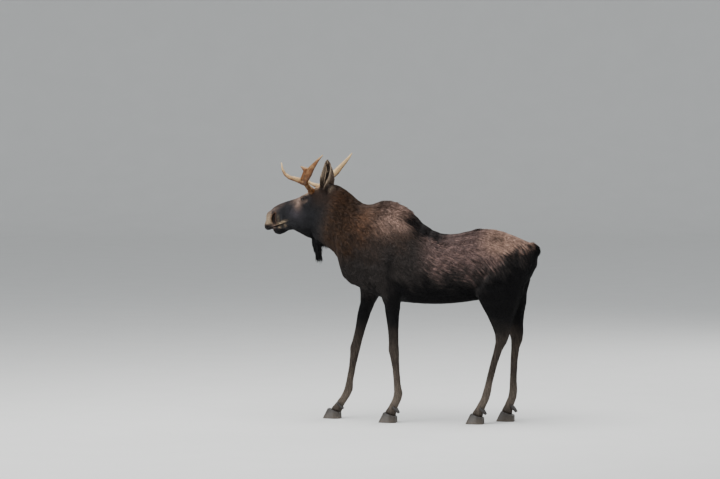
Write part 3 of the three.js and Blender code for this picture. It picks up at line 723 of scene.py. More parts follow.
def scaled(tree, colour, value):
    """A colour made lighter or darker by a number."""
    return add(tree, "ShaderNodeVectorMath", {0: colour, "Scale": value}, operation="SCALE").outputs[0]


def blend(tree, share, first, second):
    """A colour between two others."""
    return add(tree, "ShaderNodeMix", {0: share, 6: first, 7: second}, data_type="RGBA").outputs[2]


def ramp(tree, value, *stops):
    """The colour for a number between two stops, each a number and a colour."""
    node = add(tree, "ShaderNodeValToRGB", {"Fac": value})
    for element, (position, colour) in zip(node.color_ramp.elements, stops):
        element.position = position
        element.color = colour
    return node.outputs["Color"]


def finished(material, colour, roughness, ior=1.5, specular=0.5, bumps=()):
    """A material with its colour, its shine, and bumps each of a height, a strength and a depth in metres."""
    tree = material.node_tree
    shader = tree.nodes["Principled BSDF"]
    tree.links.new(colour, shader.inputs["Base Color"])
    shader.inputs["Roughness"].default_value = roughness
    shader.inputs["IOR"].default_value = ior
    shader.inputs["Specular IOR Level"].default_value = specular
    under = {}
    for height, strength, depth in bumps:
        inputs = {"Height": height, "Strength": strength, "Distance": depth}
        bump = add(tree, "ShaderNodeBump", inputs | under)
        under = {"Normal": bump.outputs[0]}
        tree.links.new(bump.outputs[0], shader.inputs["Normal"])
    return material


def lock_material(name, roughness, contrast):
    """Guard hair gathered in locks: coarse keratin fibres, matte along the lock, darker at the root than at
    the tip, with fine lengthwise lines where single hairs catch the light. Hairs shade one another, so a coat
    shines far less than one smooth face of keratin would."""
    material, tree = new_material(name)
    lock = own(tree, "Lock", "Vector")  # across, share of length, chance
    # Hairs about 0.3 mm thick can't show, so the lines are a few for each lock.
    hairs = noise(tree, stretched(tree, lock, (2.2, 0.6, 40.0)), 1.6, 2.0)
    parts = add(tree, "ShaderNodeSeparateXYZ", {"Vector": lock})
    length = ranged(tree, parts.outputs["Y"], 1 - contrast, 1 + 0.5 * contrast)
    chance = ranged(tree, parts.outputs["Z"], 0.74, 1.26)
    value = combined(tree, "MULTIPLY", length, chance)
    value = combined(tree, "MULTIPLY", value, ranged(tree, hairs, 0.84, 1.16, 0.3, 0.7))
    colour = scaled(tree, own(tree, "Markings", "Color"), value)
    return finished(material, colour, roughness, 1.55, 0.12, [(hairs, 0.25, 0.0006)])


def hide_material():
    """Hide under short flat hair: the same colours as the coat, with hair lines about 2 mm apart, drawn
    coarser than real hair, that run down the legs and along the body."""
    material, tree = new_material("moose hide with short hair")
    place = object_place(tree)
    along = noise(tree, stretched(tree, place, (90, 520, 420)), 1.0, 3.0)
    hanging = noise(tree, stretched(tree, place, (420, 520, 90)), 1.0, 3.0)
    hairs = add(tree, "ShaderNodeMix", {0: own(tree, "Hang"), 2: along, 3: hanging}).outputs[0]
    colour = scaled(tree, own(tree, "Markings", "Color"), ranged(tree, hairs, 0.62, 1.25, 0.3, 0.7))
    return finished(material, colour, 0.62, 1.5, 0.16, [(hairs, 0.6, 0.0015)])


def antler_material():
    """Antler bone rubbed clean of velvet and stained by bark: orange-brown in the grooves, paler and hardly
    polished on the points and ridges, with lengthwise furrows about 6 mm apart. Painted light makes the upper
    sides paler, and painted shade makes the undersides darker."""
    tint = bpy.context.scene.moose_colours
    material, tree = new_material("rubbed antler bone")
    # Furrows, with painted shade on the undersides.
    furrows = own(tree, "Furrow")
    bone = ramp(tree, furrows, (0.25, opaque("#47280f")), (0.75, tuple(tint.antler)))
    stain = ranged(tree, noise(tree, object_place(tree), 22.0, 4.0), -0.13, 0.13, 0.35, 0.65)
    # Rubbing and stain, with painted light on the upper sides and painted shade underneath.
    pale = combined(tree, "ADD", own(tree, "Worn"), stain, use_clamp=True)
    colour = blend(tree, pale, bone, tuple(tint.antler_tip))
    return finished(material, colour, 0.5, 1.54, 0.3, [(furrows, 0.7, 0.002)])


def horn_material():
    """Hoof horn, grown in rings about 5 mm apart: dark grey-brown keratin, scuffed paler near the ground."""
    material, tree = new_material("grown hoof horn")
    place = object_place(tree)
    waves = {"Vector": place, "Scale": 62.0, "Distortion": 1.5, "Detail": 2.0}
    rings = add(tree, "ShaderNodeTexWave", waves, bands_direction="Z").outputs["Fac"]
    scuffs = noise(tree, place, 70.0, 5.0)
    height = add(tree, "ShaderNodeSeparateXYZ", {"Vector": place}).outputs["Z"]
    worn = combined(tree, "MULTIPLY", ranged(tree, height, 0.55, 0.05, 0.0, 0.07), scuffs)
    colour = blend(tree, worn, tuple(bpy.context.scene.moose_colours.hoof), opaque("#7d6f5f"))
    return finished(material, colour, 0.42, 1.55, bumps=[(rings, 0.35, 0.001), (scuffs, 0.3, 0.001)])


def eye_material():
    """A wet eye: a nearly black brown iris with fine spokes round a level oval pupil, a dark edge, and the
    clear, glossy film over it all, which bends light as the cornea does."""
    material, tree = new_material("wet moose eye")
    gaze = own(tree, "Gaze", "Vector")  # forward, up, angle round the pupil
    angle = add(tree, "ShaderNodeSeparateXYZ", {"Vector": gaze}).outputs["Z"]
    spokes = add(tree, "ShaderNodeTexNoise", {"W": angle, "Scale": 9.0, "Detail": 3.0}, noise_dimensions="1D")
    iris = ramp(tree, spokes.outputs["Fac"], (0, opaque("#0f0805")), (1, opaque("#2c180d")))
    pupil = ranged(tree, length_of(tree, stretched(tree, gaze, (0.62, 1.15, 0.0))), 0, 1, 0.24, 0.29)
    edge = ranged(tree, length_of(tree, stretched(tree, gaze, (1.0, 1.0, 0.0))), 0, 1, 0.66, 0.76)
    colour = blend(tree, edge, blend(tree, pupil, opaque("#050405"), iris), opaque("#1d1512"))
    return finished(material, colour, 0.03, 1.376)


def lid_material():
    """Bare eyelid leather: black, slightly moist, with a grain of about 1 mm."""
    material, tree = new_material("bare lid leather")
    cells = add(tree, "ShaderNodeTexVoronoi", {"Vector": object_place(tree), "Scale": 900.0})
    grain = cells.outputs["Distance"]
    colour = ramp(tree, grain, (0, opaque("#0e0c0c")), (1, opaque("#2c2624")))
    return finished(material, colour, 0.4, bumps=[(grain, 0.4, 0.0005)])


def floor_material():
    """Matte studio paper: pale grey with a faint cloudy unevenness about 0.4 m across."""
    material, tree = new_material("studio paper")
    cloud = ranged(tree, noise(tree, object_place(tree), 2.5, 2.0), 0.97, 1.03)
    return finished(material, scaled(tree, tuple(bpy.context.scene.moose_colours.paper[:3]), cloud), 0.9)


# ---------------------------------------------------------------------------------------------- the skin
SKIN_VOXEL = 0.0037
SKIN_TRIANGLES = 186_000
SKIN_ROUNDS, GIRTH_ROUNDS = 110, 40  # of smoothing the skin, and what that took from it
# Forms on the head that the solids leave out: (place), (reach), how far the skin moves out.
HEAD_FORMS = (
    ((0.730, 0.100, 1.712), (0.085, 0.05, 0.018), 0.0050),  # cheekbone, running forward under the eye
    ((0.640, 0.110, 1.610), (0.070, 0.05, 0.065), 0.0050),  # jaw muscle
    ((0.715, 0.110, 1.600), (0.034, 0.05, 0.060), -0.0030),  # ahead of the jaw muscle
    ((0.800, 0.085, 1.660), (0.060, 0.05, 0.028), -0.0040),  # hollow under the cheekbone
    ((0.676, 0.090, 1.804), (0.040, 0.04, 0.011), 0.0035),  # brow
    ((0.720, 0.080, 1.752), (0.022, 0.03, 0.007), -0.0035),  # tear line at the front of the eye
    ((0.735, 0.070, 1.790), (0.030, 0.04, 0.020), 0.0040),  # bridge from the brow to the nose
    ((0.945, 0.085, 1.572), (0.045, 0.04, 0.018), 0.0035),  # upper lip pad
    ((0.984, 0.075, 1.622), (0.011, 0.05, 0.040), 0.0055),  # front rim of the nostril
    ((0.932, 0.080, 1.635), (0.012, 0.05, 0.034), 0.0045),  # rear rim of the nostril
    ((0.950, 0.080, 1.678), (0.024, 0.05, 0.010), 0.0035),  # upper rim of the nostril
    ((0.896, 0.090, 1.620), (0.010, 0.05, 0.036), -0.0025),  # fold behind the nostril
    ((0.865, 0.080, 1.607), (0.045, 0.04, 0.006), -0.0020),  # fold over the lip
)


def sculpt_head(points, normals):
    """Moves the skin along its normals by each form of the head, pinches it in along the mouth and sinks the
    nostrils, deepest along their middle lines."""
    place, _ = straight(points)
    move = np.zeros(len(points))
    for at, reach, height in HEAD_FORMS:
        move += height * hill(np.linalg.norm((fold(place) - at) / np.array(reach), axis=1), 1.0)
    share, mouth = muzzle_line(points, MOUTH)
    corner = 1 - smooth(0.55, 1.0, share)
    move -= 0.0080 * (0.25 + 0.75 * corner) * hill(mouth, 0.0024 + 0.0016 * corner)
    move += 0.0028 * corner * hill(mouth - 0.011, 0.006)
    share, nostril = nostril_edge(points)
    move -= 0.018 * (1 - 0.30 * share) * smooth(0.001, -0.010, nostril)
    return points + normals * move[:, None]


LID_HALF_WIDTH = 0.0182
LID_UP, LID_DOWN = 0.0120, 0.0098
LID_SNAP = 0.0017  # vertices nearer the rim than this are drawn on to it
LID_THICKNESS = (0.0030, 0.0022)  # upper, lower
LIDS_REACH = 0.042  # of what is drawn over the eye, from its middle
LIDS_NEAR = 0.045
LIDS_BACK = -0.002  # nothing further behind the eye's middle is drawn over it
BEHIND_EYE = 0.005


def almond(x, y):
    """How far outside the opening of the lids places lie, along the ray from the middle of the eye."""
    radius = np.maximum(np.hypot(x, y), 1e-6)
    height = np.where(y > 0, LID_UP, LID_DOWN)
    ratio = np.hypot(x / LID_HALF_WIDTH, y / height)
    return radius - radius / np.maximum(ratio, 1e-6)


def sculpt_lids(points):
    """Draws the skin over each eye. Outside the almond it lies on a ball thicker than the eye by the lid, and
    runs out into the face over 15 mm, with a fold over the upper lid. Inside it sinks behind the eye."""
    points = points.copy()
    for side in SIDES.values():
        x, y, depth = eye_place(points, side)
        near = (np.hypot(x, y) < LIDS_REACH) & (depth > LIDS_BACK)
        x, y, depth = x[near], y[near], depth[near]
        beyond = almond(x, y)
        snap = -beyond * (np.abs(beyond) < LID_SNAP)
        away = np.stack([x, y], 1) / np.maximum(np.hypot(x, y), 1e-6)[:, None]
        x, y = x + away[:, 0] * snap, y + away[:, 1] * snap
        radius = EYE_RADIUS + np.where(y > 0, *LID_THICKNESS)
        ball = np.sqrt(np.maximum(radius**2 - x**2 - y**2, (0.55 * radius) ** 2))
        face = smooth(0.002, 0.015, beyond)
        lidded = ball * (1 - face) + depth * face
        lidded -= 0.0016 * hill(beyond - 0.0085, 0.0022) * smooth(0.0, 0.006, y)
        lidded -= 0.0010 * hill(beyond - 0.0070, 0.0022) * smooth(0.0, -0.006, y)
        sunk = np.sqrt(np.maximum(EYE_RADIUS**2 - x**2 - y**2, 0.006**2)) - BEHIND_EYE
        points[near] = on_eye(side, x, y, np.where(beyond < -LID_SNAP, sunk, lidded))
    return points


def skin_mesh():
    """The skin: the fused flesh, with the eyes filled in, smoothed until its facets are gone, drawn in by the
    coat's depth, given the head's forms and thinned to SKIN_TRIANGLES, the head least."""
    mesh = fused((*FLESH, "eye_left", "eye_right"), SKIN_VOXEL)
    points, edges = points_of(mesh), edges_of(mesh)
    place, _ = straight(points)
    head, legs, muzzle = head_mask(place), leg_mask(place), smooth(0.86, 0.95, place[:, 0])
    pull = layered(0.9, (0.22, head), (0.50, legs), (0.10, muzzle), (0.06, ear_mask(points)))
    points = softened(mesh, pull, SKIN_ROUNDS, GIRTH_ROUNDS)
    move_points(mesh, points)
    half = np.full(len(points), 0.5)
    normals = unit(relaxed(normals_of(mesh), edges, half, 3))
    depth = relaxed(coat_depth(points, normals), edges, np.full(len(points), 0.8), 10)
    move_points(mesh, points - normals * depth)
    normals = unit(relaxed(normals_of(mesh), edges, half, 3))
    points = sculpt_lids(sculpt_head(points_of(mesh), normals))
    move_points(mesh, points)
    place, _ = straight(points)
    coarse = 1 - smooth(0.50, 0.62, place[:, 0] + 0.25 * (place[:, 2] - 1.65))
    return modified(
        mesh,
        "DECIMATE",
        coarse * (1 - ear_mask(points)),
        ratio=min(1.0, SKIN_TRIANGLES / len(triangles_of(mesh))),
        use_collapse_triangulate=True,
        vertex_group_factor=1.0,
    )


class MOOSE_OT_skin(bpy.types.Operator):
    """Builds the one skin that stands for all the flesh."""

    bl_idname = "moose.skin"
    bl_label = "Skin"

    def execute(self, context):
        mesh = skin_mesh()
        mesh.polygons.foreach_set("use_smooth", np.ones(len(mesh.polygons), bool))
        points, normals = points_of(mesh), normals_of(mesh)
        colour_attribute(mesh, markings(points, normals))
        lie = lie_of_coat(points, normals)
        attribute(mesh, "Hang", smooth(0.45, 0.8, np.abs(lie[:, 2])))
        show("skin", mesh, [hide_material()], FLESH)
        return {"FINISHED"}


# ---------------------------------------------------------------------------------------------- the coat
# One lock: a point at the root, rings of three corners, and the tip. A ring has its share of the length, and
# the share of the width there.
SHORT_LOCK = ((0.36, 1.0),)
LONG_LOCK = ((0.22, 1.0), (0.62, 0.85))
LOCK_THICKNESS = 0.34  # of its width
LOCK_SUNK = 0.15  # of its width, at the root
LOCK_BEND = 0.07  # sideways, as a share of its length
UV_PATCH = 0.003
UV_MARGIN = 0.02
LEG_BANDS, LEG_BAND = 20, 0.08  # number and height
LEG_OUT = 0.135  # of a leg's middle from the midline
CANDIDATES = 2.5  # random points tried for each root wanted


def lock_mesh(name, roots, normals, lie, length, width, lift, droop, rings, uv_of, seed):
    """A closed lock of hair at each root. Its middle line leaves the skin at the root and runs along the lie,
    rises by lift x length x s (1 - 0.4 s) at share s of its length and falls by droop x length x s^2. Each
    ring is a triangle, two edges on the skin and a ridge over them. It ends in a point at root and tip."""
    rng = np.random.default_rng(seed)
    count = len(roots)
    across = unit(np.cross(lie, normals))
    sunk = roots - normals * (LOCK_SUNK * width[:, None])
    corners = ((-0.5, 0.0), (0.5, 0.0), (0.08, LOCK_THICKNESS))
    chance = rng.random(count)
    bend = rng.normal(0, LOCK_BEND, count)

    def middle(s):
        rise = lift * s * (1 - 0.4 * s)
        line = lie * (length * s)[:, None] + normals * (length * rise)[:, None]
        sideways = across * (length * bend * s * s)[:, None]
        down = np.array((0, 0, -1.0)) * (length * droop * s * s)[:, None]
        return sunk + line + sideways + down

    def marked(aside, s):
        return np.stack([np.full(count, aside), np.full(count, s), chance], 1)

    points, marks = [middle(0.0)], [marked(0.0, 0.0)]
    for s, share in rings:
        for side, height in corners:
            edge = middle(s) + across * (width * share * side)[:, None]
            points.append(edge + normals * (width * share * height)[:, None])
            marks.append(marked(2.0 * side, s))
    points.append(middle(1.0))
    marks.append(marked(0.0, 1.0))
    each = len(points)
    faces = []
    for i in range(3):
        j = (i + 1) % 3
        faces += [(0, 1 + i, 1 + j), (each - 4 + i, each - 1, each - 4 + j)]
        for ring in range(len(rings) - 1):
            a = 1 + 3 * ring
            faces += [(a + i, a + 3 + i, a + 3 + j), (a + i, a + 3 + j, a + j)]
    faces = (np.array(faces)[None] + (np.arange(count) * each)[:, None, None]).reshape(-1, 3)
    points = np.stack(points, 1).reshape(-1, 3)
    marks = np.stack(marks, 1).reshape(-1, 3)
    mesh = mesh_from(name, points, faces)
    colour_attribute(mesh, np.repeat(markings(roots, normals), each, 0))
    attribute(mesh, "Lock", marks)
    patch = np.repeat(uv_of(roots), each, 0) + (marks[:, :2] * (0.5, 1.0) - (0, 0.5)) * UV_PATCH
    layer = mesh.uv_layers.new(name="OFBake")
    layer.uv.foreach_set("vector", patch[faces.ravel()].astype(np.float32).ravel())
    return mesh


def inset(share, margin=UV_MARGIN):
    """A share from 0 to 1, kept clear of both ends."""
    return margin + (1 - 2 * margin) * share


def turn_share(y, x):
    """The angle of (x, y) as a share of a full turn, 0.5 along x."""
    return np.arctan2(y, x) / (2 * np.pi) + 0.5


def round_body(points):
    """An unwrap of the body as a tube: the angle round its middle line, and the distance along it."""
    ahead, out, up = straight(points)[0].T
    middle = np.interp(ahead, (-1.2, -0.6, 0.0, 0.45, 0.7, 1.05), (1.34, 1.25, 1.36, 1.62, 1.64, 1.62))
    return np.stack([inset(turn_share(out, up - middle)), inset((1.08 - ahead) / 2.32)], 1)


def round_leg(points):
    """An unwrap of each leg as an upright tube, four side by side: the angle round it, and the height. The
    middle of a leg is the mean of its roots in each band of LEG_BAND."""
    ahead, out, up = straight(points)[0].T
    column = np.where(ahead > LEGS_PART, 0, 2) + (out > 0)
    middle = np.zeros(len(points))
    for number in range(4):
        leg = column == number
        if leg.any():
            bands = np.clip((up[leg] / LEG_BAND).astype(int), 0, LEG_BANDS - 1)
            total = np.bincount(bands, minlength=LEG_BANDS)
            means = np.bincount(bands, ahead[leg], LEG_BANDS) / np.maximum(total, 1)
            middle[leg] = means[bands]
    angle = turn_share(np.abs(out) - LEG_OUT, ahead - middle)
    return np.stack([(column + inset(angle, 2 * UV_MARGIN)) / 4, inset(up / (LEG_BANDS * LEG_BAND))], 1)


def round_ear(points):
    """An unwrap of both ears side by side: the angle round the middle line, and the share of the height."""
    found = np.zeros((len(points), 2))
    for number, name in enumerate(SIDES):
        root, along, faces = ear_frame(name)
        share, distance = ear_share(points, name)
        angle = turn_share((points - root) @ np.cross(along, faces), (points - root) @ faces)
        near = distance < 0.12
        found[near, 0] = (number + inset(angle[near], 2 * UV_MARGIN)) / 2
        found[near, 1] = inset(share[near])
    return found


def scattered(mesh, spacing, seed):
    """Roots spread over a mesh: random points on its triangles, kept with a chance that falls with the square
    of the spacing asked for there, and one at most in each cell of a grid of that spacing."""
    rng = np.random.default_rng(seed)
    points, faces, normals = points_of(mesh), triangles_of(mesh), normals_of(mesh)
    a, b, c = (points[faces[:, k]] for k in range(3))
    area = np.linalg.norm(np.cross(b - a, c - a), axis=1) / 2
    near = spacing[faces].mean(1)
    weight = area / near**2
    count = int(weight.sum() * CANDIDATES)
    chosen = np.searchsorted(np.cumsum(weight) / weight.sum(), rng.random(count))
    u, v = rng.random((2, count))
    over = u + v > 1
    u, v = np.where(over, 1 - u, u), np.where(over, 1 - v, v)
    shares = np.stack([1 - u - v, u, v], 1)
    roots = np.einsum("ij,ijk->ik", shares, points[faces[chosen]])
    ways = unit(np.einsum("ij,ijk->ik", shares, normals[faces[chosen]]))
    step = near[chosen]
    level = np.round(np.log2(step) * 4).astype(int)
    cell = np.floor(roots / (2.0 ** (level / 4))[:, None]).astype(int)
    _, first = np.unique(np.concatenate([cell, level[:, None]], 1), axis=0, return_index=True)
    return roots[first], ways[first]


def root_spacing(points):
    """The distance wanted between roots."""
    sizes = bpy.context.scene.moose_coat
    place, _ = straight(points)
    return layered(
        sizes.body_spacing,
        (sizes.head_spacing, head_mask(place)),
        (sizes.leg_spacing, leg_mask(place)),
        (0.0036, ear_mask(points)),
        (0.0042, bell_mask(points)),
        (0.0023, smooth(0.062, 0.030, eye_gap(points))),
    )


def coat_regions(points, normals):
    """For each root, which coat piece it belongs to."""
    place, _ = straight(points)
    ahead, out, _ = place.T
    side = np.where(out < 0, "left", "right")
    region = np.where(ahead > 0.12, "coat_neck_", np.where(ahead > -0.42, "coat_shoulder_", "coat_haunch_"))
    region = np.char.add(region, side)
    region = np.where(head_mask(place) > 0.5, np.char.add("coat_head_", side), region)
    legs = leg_mask(place) > 0.5
    for where, name in (
        (legs & (ahead > LEGS_PART), "coat_forelegs"),
        (legs & (ahead <= LEGS_PART), "coat_hindlegs"),
        (mane_mask(place, normals) > 0.5, "coat_mane"),
        (tail_mask(points) > 0.4, "coat_tail"),
        (bell_mask(points) > 0.4, "coat_bell"),
        (ear_mask(points) > 0.4, "coat_ears"),
    ):
        region = np.where(where, name, region)
    return region


def eye_gap(points):
    """Distance from the nearer eye's middle."""
    return np.minimum(*[np.linalg.norm(points - eye_axes(side)[0], axis=1) for side in SIDES.values()])


def lid_gap(points):
    """How far outside the opening of the nearer eye's lids points lie."""
    gap = np.full(len(points), 1.0)
    for side in SIDES.values():
        x, y, depth = eye_place(points, side)
        near = (x**2 + y**2 + depth**2 < LIDS_NEAR**2) & (depth > LIDS_BACK)
        gap[near] = almond(x[near], y[near])
    return gap


def muzzle_line(points, path):
    """How far along a line on the side of the muzzle points lie, and their distance from it, counting out by
    about a third, so that the line may lie a little under the skin or over it."""
    flat = np.array((1, 0.35, 1))
    return beside(fold(straight(points)[0]) * flat, np.array(path) * flat)


def nostril_edge(points):
    """How far down a nostril points lie, and how far outside it; it widens from 15 mm at the top to 30 mm."""
    share, distance = muzzle_line(points, NOSTRIL)
    return share, distance - 0.0075 - 0.0075 * smooth(0.0, 0.6, share)


def lock_sizes(points, normals, rng):
    """The length, width, lift and droop of the lock at each root."""
    sizes = bpy.context.scene.moose_coat
    place, _ = straight(points)
    ahead, _, up = place.T
    length = np.full(len(points), sizes.body_length)
    width = np.full(len(points), sizes.body_width)
    lift = np.full(len(points), 0.13)
    droop = np.full(len(points), 0.02)
    for mask, wanted in (
        (smooth(0.10, 0.40, ahead) * smooth(1.2, 1.35, up), (0.052, 0.0052, 0.14, 0.03)),
        (smooth(-0.80, -0.95, ahead), (0.036, 0.0046, 0.13, 0.02)),
        (mane_mask(place, normals), (sizes.mane_length, 0.0056, 0.22, 0.05)),
        (tuft_mask(place), (0.058, 0.0050, 0.42, 0.10)),
        (head_mask(place), (sizes.head_length, 0.0026, 0.12, 0.0)),
        (smooth(0.84, 1.0, ahead), (sizes.head_length * 0.55, 0.0019, 0.13, 0.0)),
        (head_mask(place) * smooth(1.50, 1.44, up) * smooth(0.74, 0.66, ahead), (0.030, 0.0036, 0.16, 0.1)),
        (leg_mask(place), (sizes.leg_length, 0.0036, 0.12, 0.0)),
        (smooth(0.30, 0.16, up), (sizes.leg_length * 0.7, 0.0030, 0.12, 0.0)),
        (bell_mask(points), (sizes.bell_length, 0.0046, 0.20, 0.10)),
        (tail_mask(points), (0.040, 0.0042, 0.12, 0.1)),
        (ear_mask(points), (sizes.ear_length, 0.0024, 0.14, 0.0)),
    ):
        for array, value in zip((length, width, lift, droop), wanted):
            array += (value - array) * mask
    near_eye = smooth(0.060, 0.026, eye_gap(points))
    length += (0.0068 - length) * near_eye
    width += (0.0016 - width) * near_eye
    rim = np.minimum(nostril_edge(points)[1] + 0.004, muzzle_line(points, MOUTH)[1])
    length *= 0.40 + 0.60 * smooth(0.004, 0.016, rim)
    length *= rng.uniform(0.7, 1.25, len(points)) * (1 + 0.35 * bell_mask(points) * ripple(points, 0.03, 13))
    width *= rng.uniform(0.75, 1.2, len(points))
    lift *= rng.uniform(0.5, 1.4, len(points))
    return length, width, lift, droop


UNWRAPS = {"coat_ears": round_ear, "coat_forelegs": round_leg, "coat_hindlegs": round_leg}
LONG_HAIRED = ("coat_mane", "coat_bell", "coat_tail")
SHORT_HAIRED = ("coat_head", "coat_ears", "coat_forelegs", "coat_hindlegs")
HAIR_FROM = 0.05  # no hair grows under this height,
LID_BARE = 0.0022  # nor this near the opening of the lids
MOUTH_BARE = 0.0034  # or the line of the mouth


class MOOSE_OT_coat(bpy.types.Operator):
    """Covers the skin with locks of hair, in one piece for each region."""

    bl_idname = "moose.coat"
    bl_label = "Coat"

    def execute(self, context):
        skin = bpy.data.objects["skin"].data
        points = points_of(skin)
        roots, normals = scattered(skin, root_spacing(points), 11)
        share, mouth = muzzle_line(roots, MOUTH)
        bare = (nostril_edge(roots)[1] < -0.001) | (mouth < MOUTH_BARE * (1 - smooth(0.6, 1.0, share)))
        keep = (lid_gap(roots) > LID_BARE) & ~bare & (roots[:, 2] > HAIR_FROM)
        roots, normals = roots[keep], normals[keep]
        rng = np.random.default_rng(12)
        lie = lie_of_coat(roots, normals)
        # Whole areas of hair part to one side or the other, and each lock strays a little from the next.
        stray = 0.12 * ripple(roots, 0.13, 5) + 0.07 * ripple(roots, 0.04, 6)
        stray += rng.normal(0, 0.06, len(roots))
        place, _ = straight(roots)
        stray *= 1 - 0.6 * np.maximum(head_mask(place), leg_mask(place))
        lie = unit(lie + np.cross(normals, lie) * stray[:, None])
        locks = (roots, normals, lie, *lock_sizes(roots, normals, rng))
        regions = coat_regions(roots, normals)
        coarse = lock_material("moose guard hair", 0.60, 0.20)
        fine = lock_material("short moose face hair", 0.50, 0.10)
        for seed, name in enumerate(sorted(set(regions)), 100):
            chosen = [values[regions == name] for values in locks]
            rings = LONG_LOCK if name in LONG_HAIRED else SHORT_LOCK
            mesh = lock_mesh(name, *chosen, rings, UNWRAPS.get(name, round_body), seed)
            hair = fine if name.startswith(SHORT_HAIRED) else coarse
            show(name, mesh, [hair])
            print(name, len(chosen[0]), "locks", len(mesh.polygons), "triangles")
        return {"FINISHED"}


# ---------------------------------------------------------------------------------------- the head fittings
CORNEA_RISE = 0.0014


def grid_faces(rows, columns, closed=True):
    """Quads between a grid's points, row by row, each row a closed ring unless told otherwise."""
    i, j = np.meshgrid(np.arange(rows - 1), np.arange(columns if closed else columns - 1), indexing="ij")
    k = (j + 1) % columns
    quads = np.stack([i * columns + j, i * columns + k, (i + 1) * columns + k, (i + 1) * columns + j], -1)
    return quads.reshape(-1, 4)


def grid_of(rows, columns):
    """Every pair of a value from rows and one from columns, as two long arrays."""
    return (values.ravel() for values in np.meshgrid(rows, columns, indexing="ij"))


def eye_axes(side):
    """An eye's middle, and its outward, forward and upward directions."""
    middle = drawn([at_side(EYE, side)])[0]
    outward = unit(on_head(EYE_FACES, side)[0])
    ahead = on_head((1, 0, 0), side)[0]
    forward = unit(ahead - outward * (ahead @ outward))
    upward = np.cross(outward, forward) * side
    return middle, outward, forward, upward * np.sign(upward[2])


def eye_place(points, side):
    """How far forward, upward and outward of an eye's middle points lie."""
    middle, outward, forward, upward = eye_axes(side)
    local = points - middle
    return local @ forward, local @ upward, local @ outward


def on_eye(side, x, y, depth):
    """The points that lie so far forward, upward and outward of an eye's middle."""
    middle, outward, forward, upward = eye_axes(side)
    return middle + x[:, None] * forward + y[:, None] * upward + depth[:, None] * outward


def eyeball_mesh(side):
    """A ball of EYE_RADIUS that swells by CORNEA_RISE in front: a grid of the angle from the middle of the
    pupil and the angle round it, closed in front and behind. Also where each point is seen in the eye."""
    rings, columns = 38, 48
    p, a = grid_of(np.linspace(0, np.pi, rings + 2)[1:-1], np.linspace(0, 2 * np.pi, columns, endpoint=False))
    p, a = np.append(p, (0, np.pi)), np.append(a, (0, 0))
    radius = EYE_RADIUS + CORNEA_RISE * hill(p, 0.55)
    x, y = np.sin(p) * np.cos(a), np.sin(p) * np.sin(a)
    points = on_eye(side, radius * x, radius * y, radius * np.cos(p))
    quads = grid_faces(rings, columns)
    i = np.arange(columns)
    j = (i + 1) % columns
    front, back, last = len(points) - 2, len(points) - 1, (rings - 1) * columns
    front_cap = np.stack([np.full(columns, front), j, i], 1)
    back_cap = np.stack([np.full(columns, back), last + i, last + j], 1)
    faces = np.concatenate([quads[:, [0, 1, 2]], quads[:, [0, 2, 3]], front_cap, back_cap])
    return facing_out(mesh_from("eyeball", points, faces)), np.stack([x, y, a], 1)


def facing_out(mesh):
    """Turns the faces of a closed mesh outwards."""
    shell = bmesh.new()
    shell.from_mesh(mesh)
    bmesh.ops.recalc_face_normals(shell, faces=shell.faces)
    shell.to_mesh(mesh)
    shell.free()
    return mesh


def lid_mesh(side):
    """The bare rims of the lids: an ellipse carried round the almond x = w cos a, y = h sin a, on the ball,
    thicker above than below."""
    around, section = 72, 12
    a, k = grid_of(*(np.linspace(0, 2 * np.pi, count, endpoint=False) for count in (around, section)))
    top = np.sin(a) > 0
    height = np.where(top, LID_UP, LID_DOWN)
    x, y = LID_HALF_WIDTH * np.cos(a), height * np.sin(a)
    away = unit(np.stack([x / LID_HALF_WIDTH**2, y / height**2], 1))
    reach = np.where(top, 0.0019, 0.0016) * (0.6 + np.cos(k))
    x, y = x + away[:, 0] * reach, y + away[:, 1] * reach
    inside = np.maximum((EYE_RADIUS + 0.0009) ** 2 - x**2 - y**2, 0)
    points = on_eye(side, x, y, np.sqrt(inside) + np.where(top, 0.0019, 0.0015) * np.sin(k))
    return facing_out(mesh_from("lid", points, grid_faces(around + 1, section) % len(points)))


LASHES = 46


def lash_mesh(side):
    """The lashes of the upper lid: long locks rooted evenly along the almond's upper edge, pointing out and
    a little down, fanned forward at the front corner and back at the rear one."""
    _, outward, forward, upward = eye_axes(side)
    rng = np.random.default_rng(40)
    a = np.radians(np.linspace(18, 166, LASHES)) + rng.normal(0, 0.012, LASHES)
    x, y = (LID_HALF_WIDTH + 0.001) * np.cos(a), (LID_UP + 0.001) * np.sin(a)
    roots = on_eye(side, x, y, np.sqrt((EYE_RADIUS + 0.0022) ** 2 - x**2 - y**2))
    lie = unit(0.9 * outward + np.cos(a)[:, None] * forward * 0.75 + 0.20 * upward)
    normals = unit(upward - lie * (lie @ upward)[:, None])
    length = 0.0135 * rng.uniform(0.75, 1.15, LASHES) * (0.65 + 0.35 * np.sin(a))
    width, lift, droop = (np.full(LASHES, value) for value in (0.0009, 0.10, 0.42))
    return lock_mesh("lashes", roots, normals, lie, length, width, lift, droop, LONG_LOCK, round_body, 41)


class MOOSE_OT_eyes(bpy.types.Operator):
    """Builds the eyeballs, their lids and lashes."""

    bl_idname = "moose.eyes"
    bl_label = "Eyes"

    def execute(self, context):
        wet, leather = eye_material(), lid_material()
        hair = lock_material("moose eyelash", 0.45, 0.10)
        for name, side in SIDES.items():
            mesh, seen = eyeball_mesh(side)
            attribute(mesh, "Gaze", seen)
            show(f"eyeball_{name}", mesh, [wet], [f"eye_{name}"])
            show(f"eyelids_{name}", lid_mesh(side), [leather])
            show(f"lashes_{name}", lash_mesh(side), [hair])
        return {"FINISHED"}


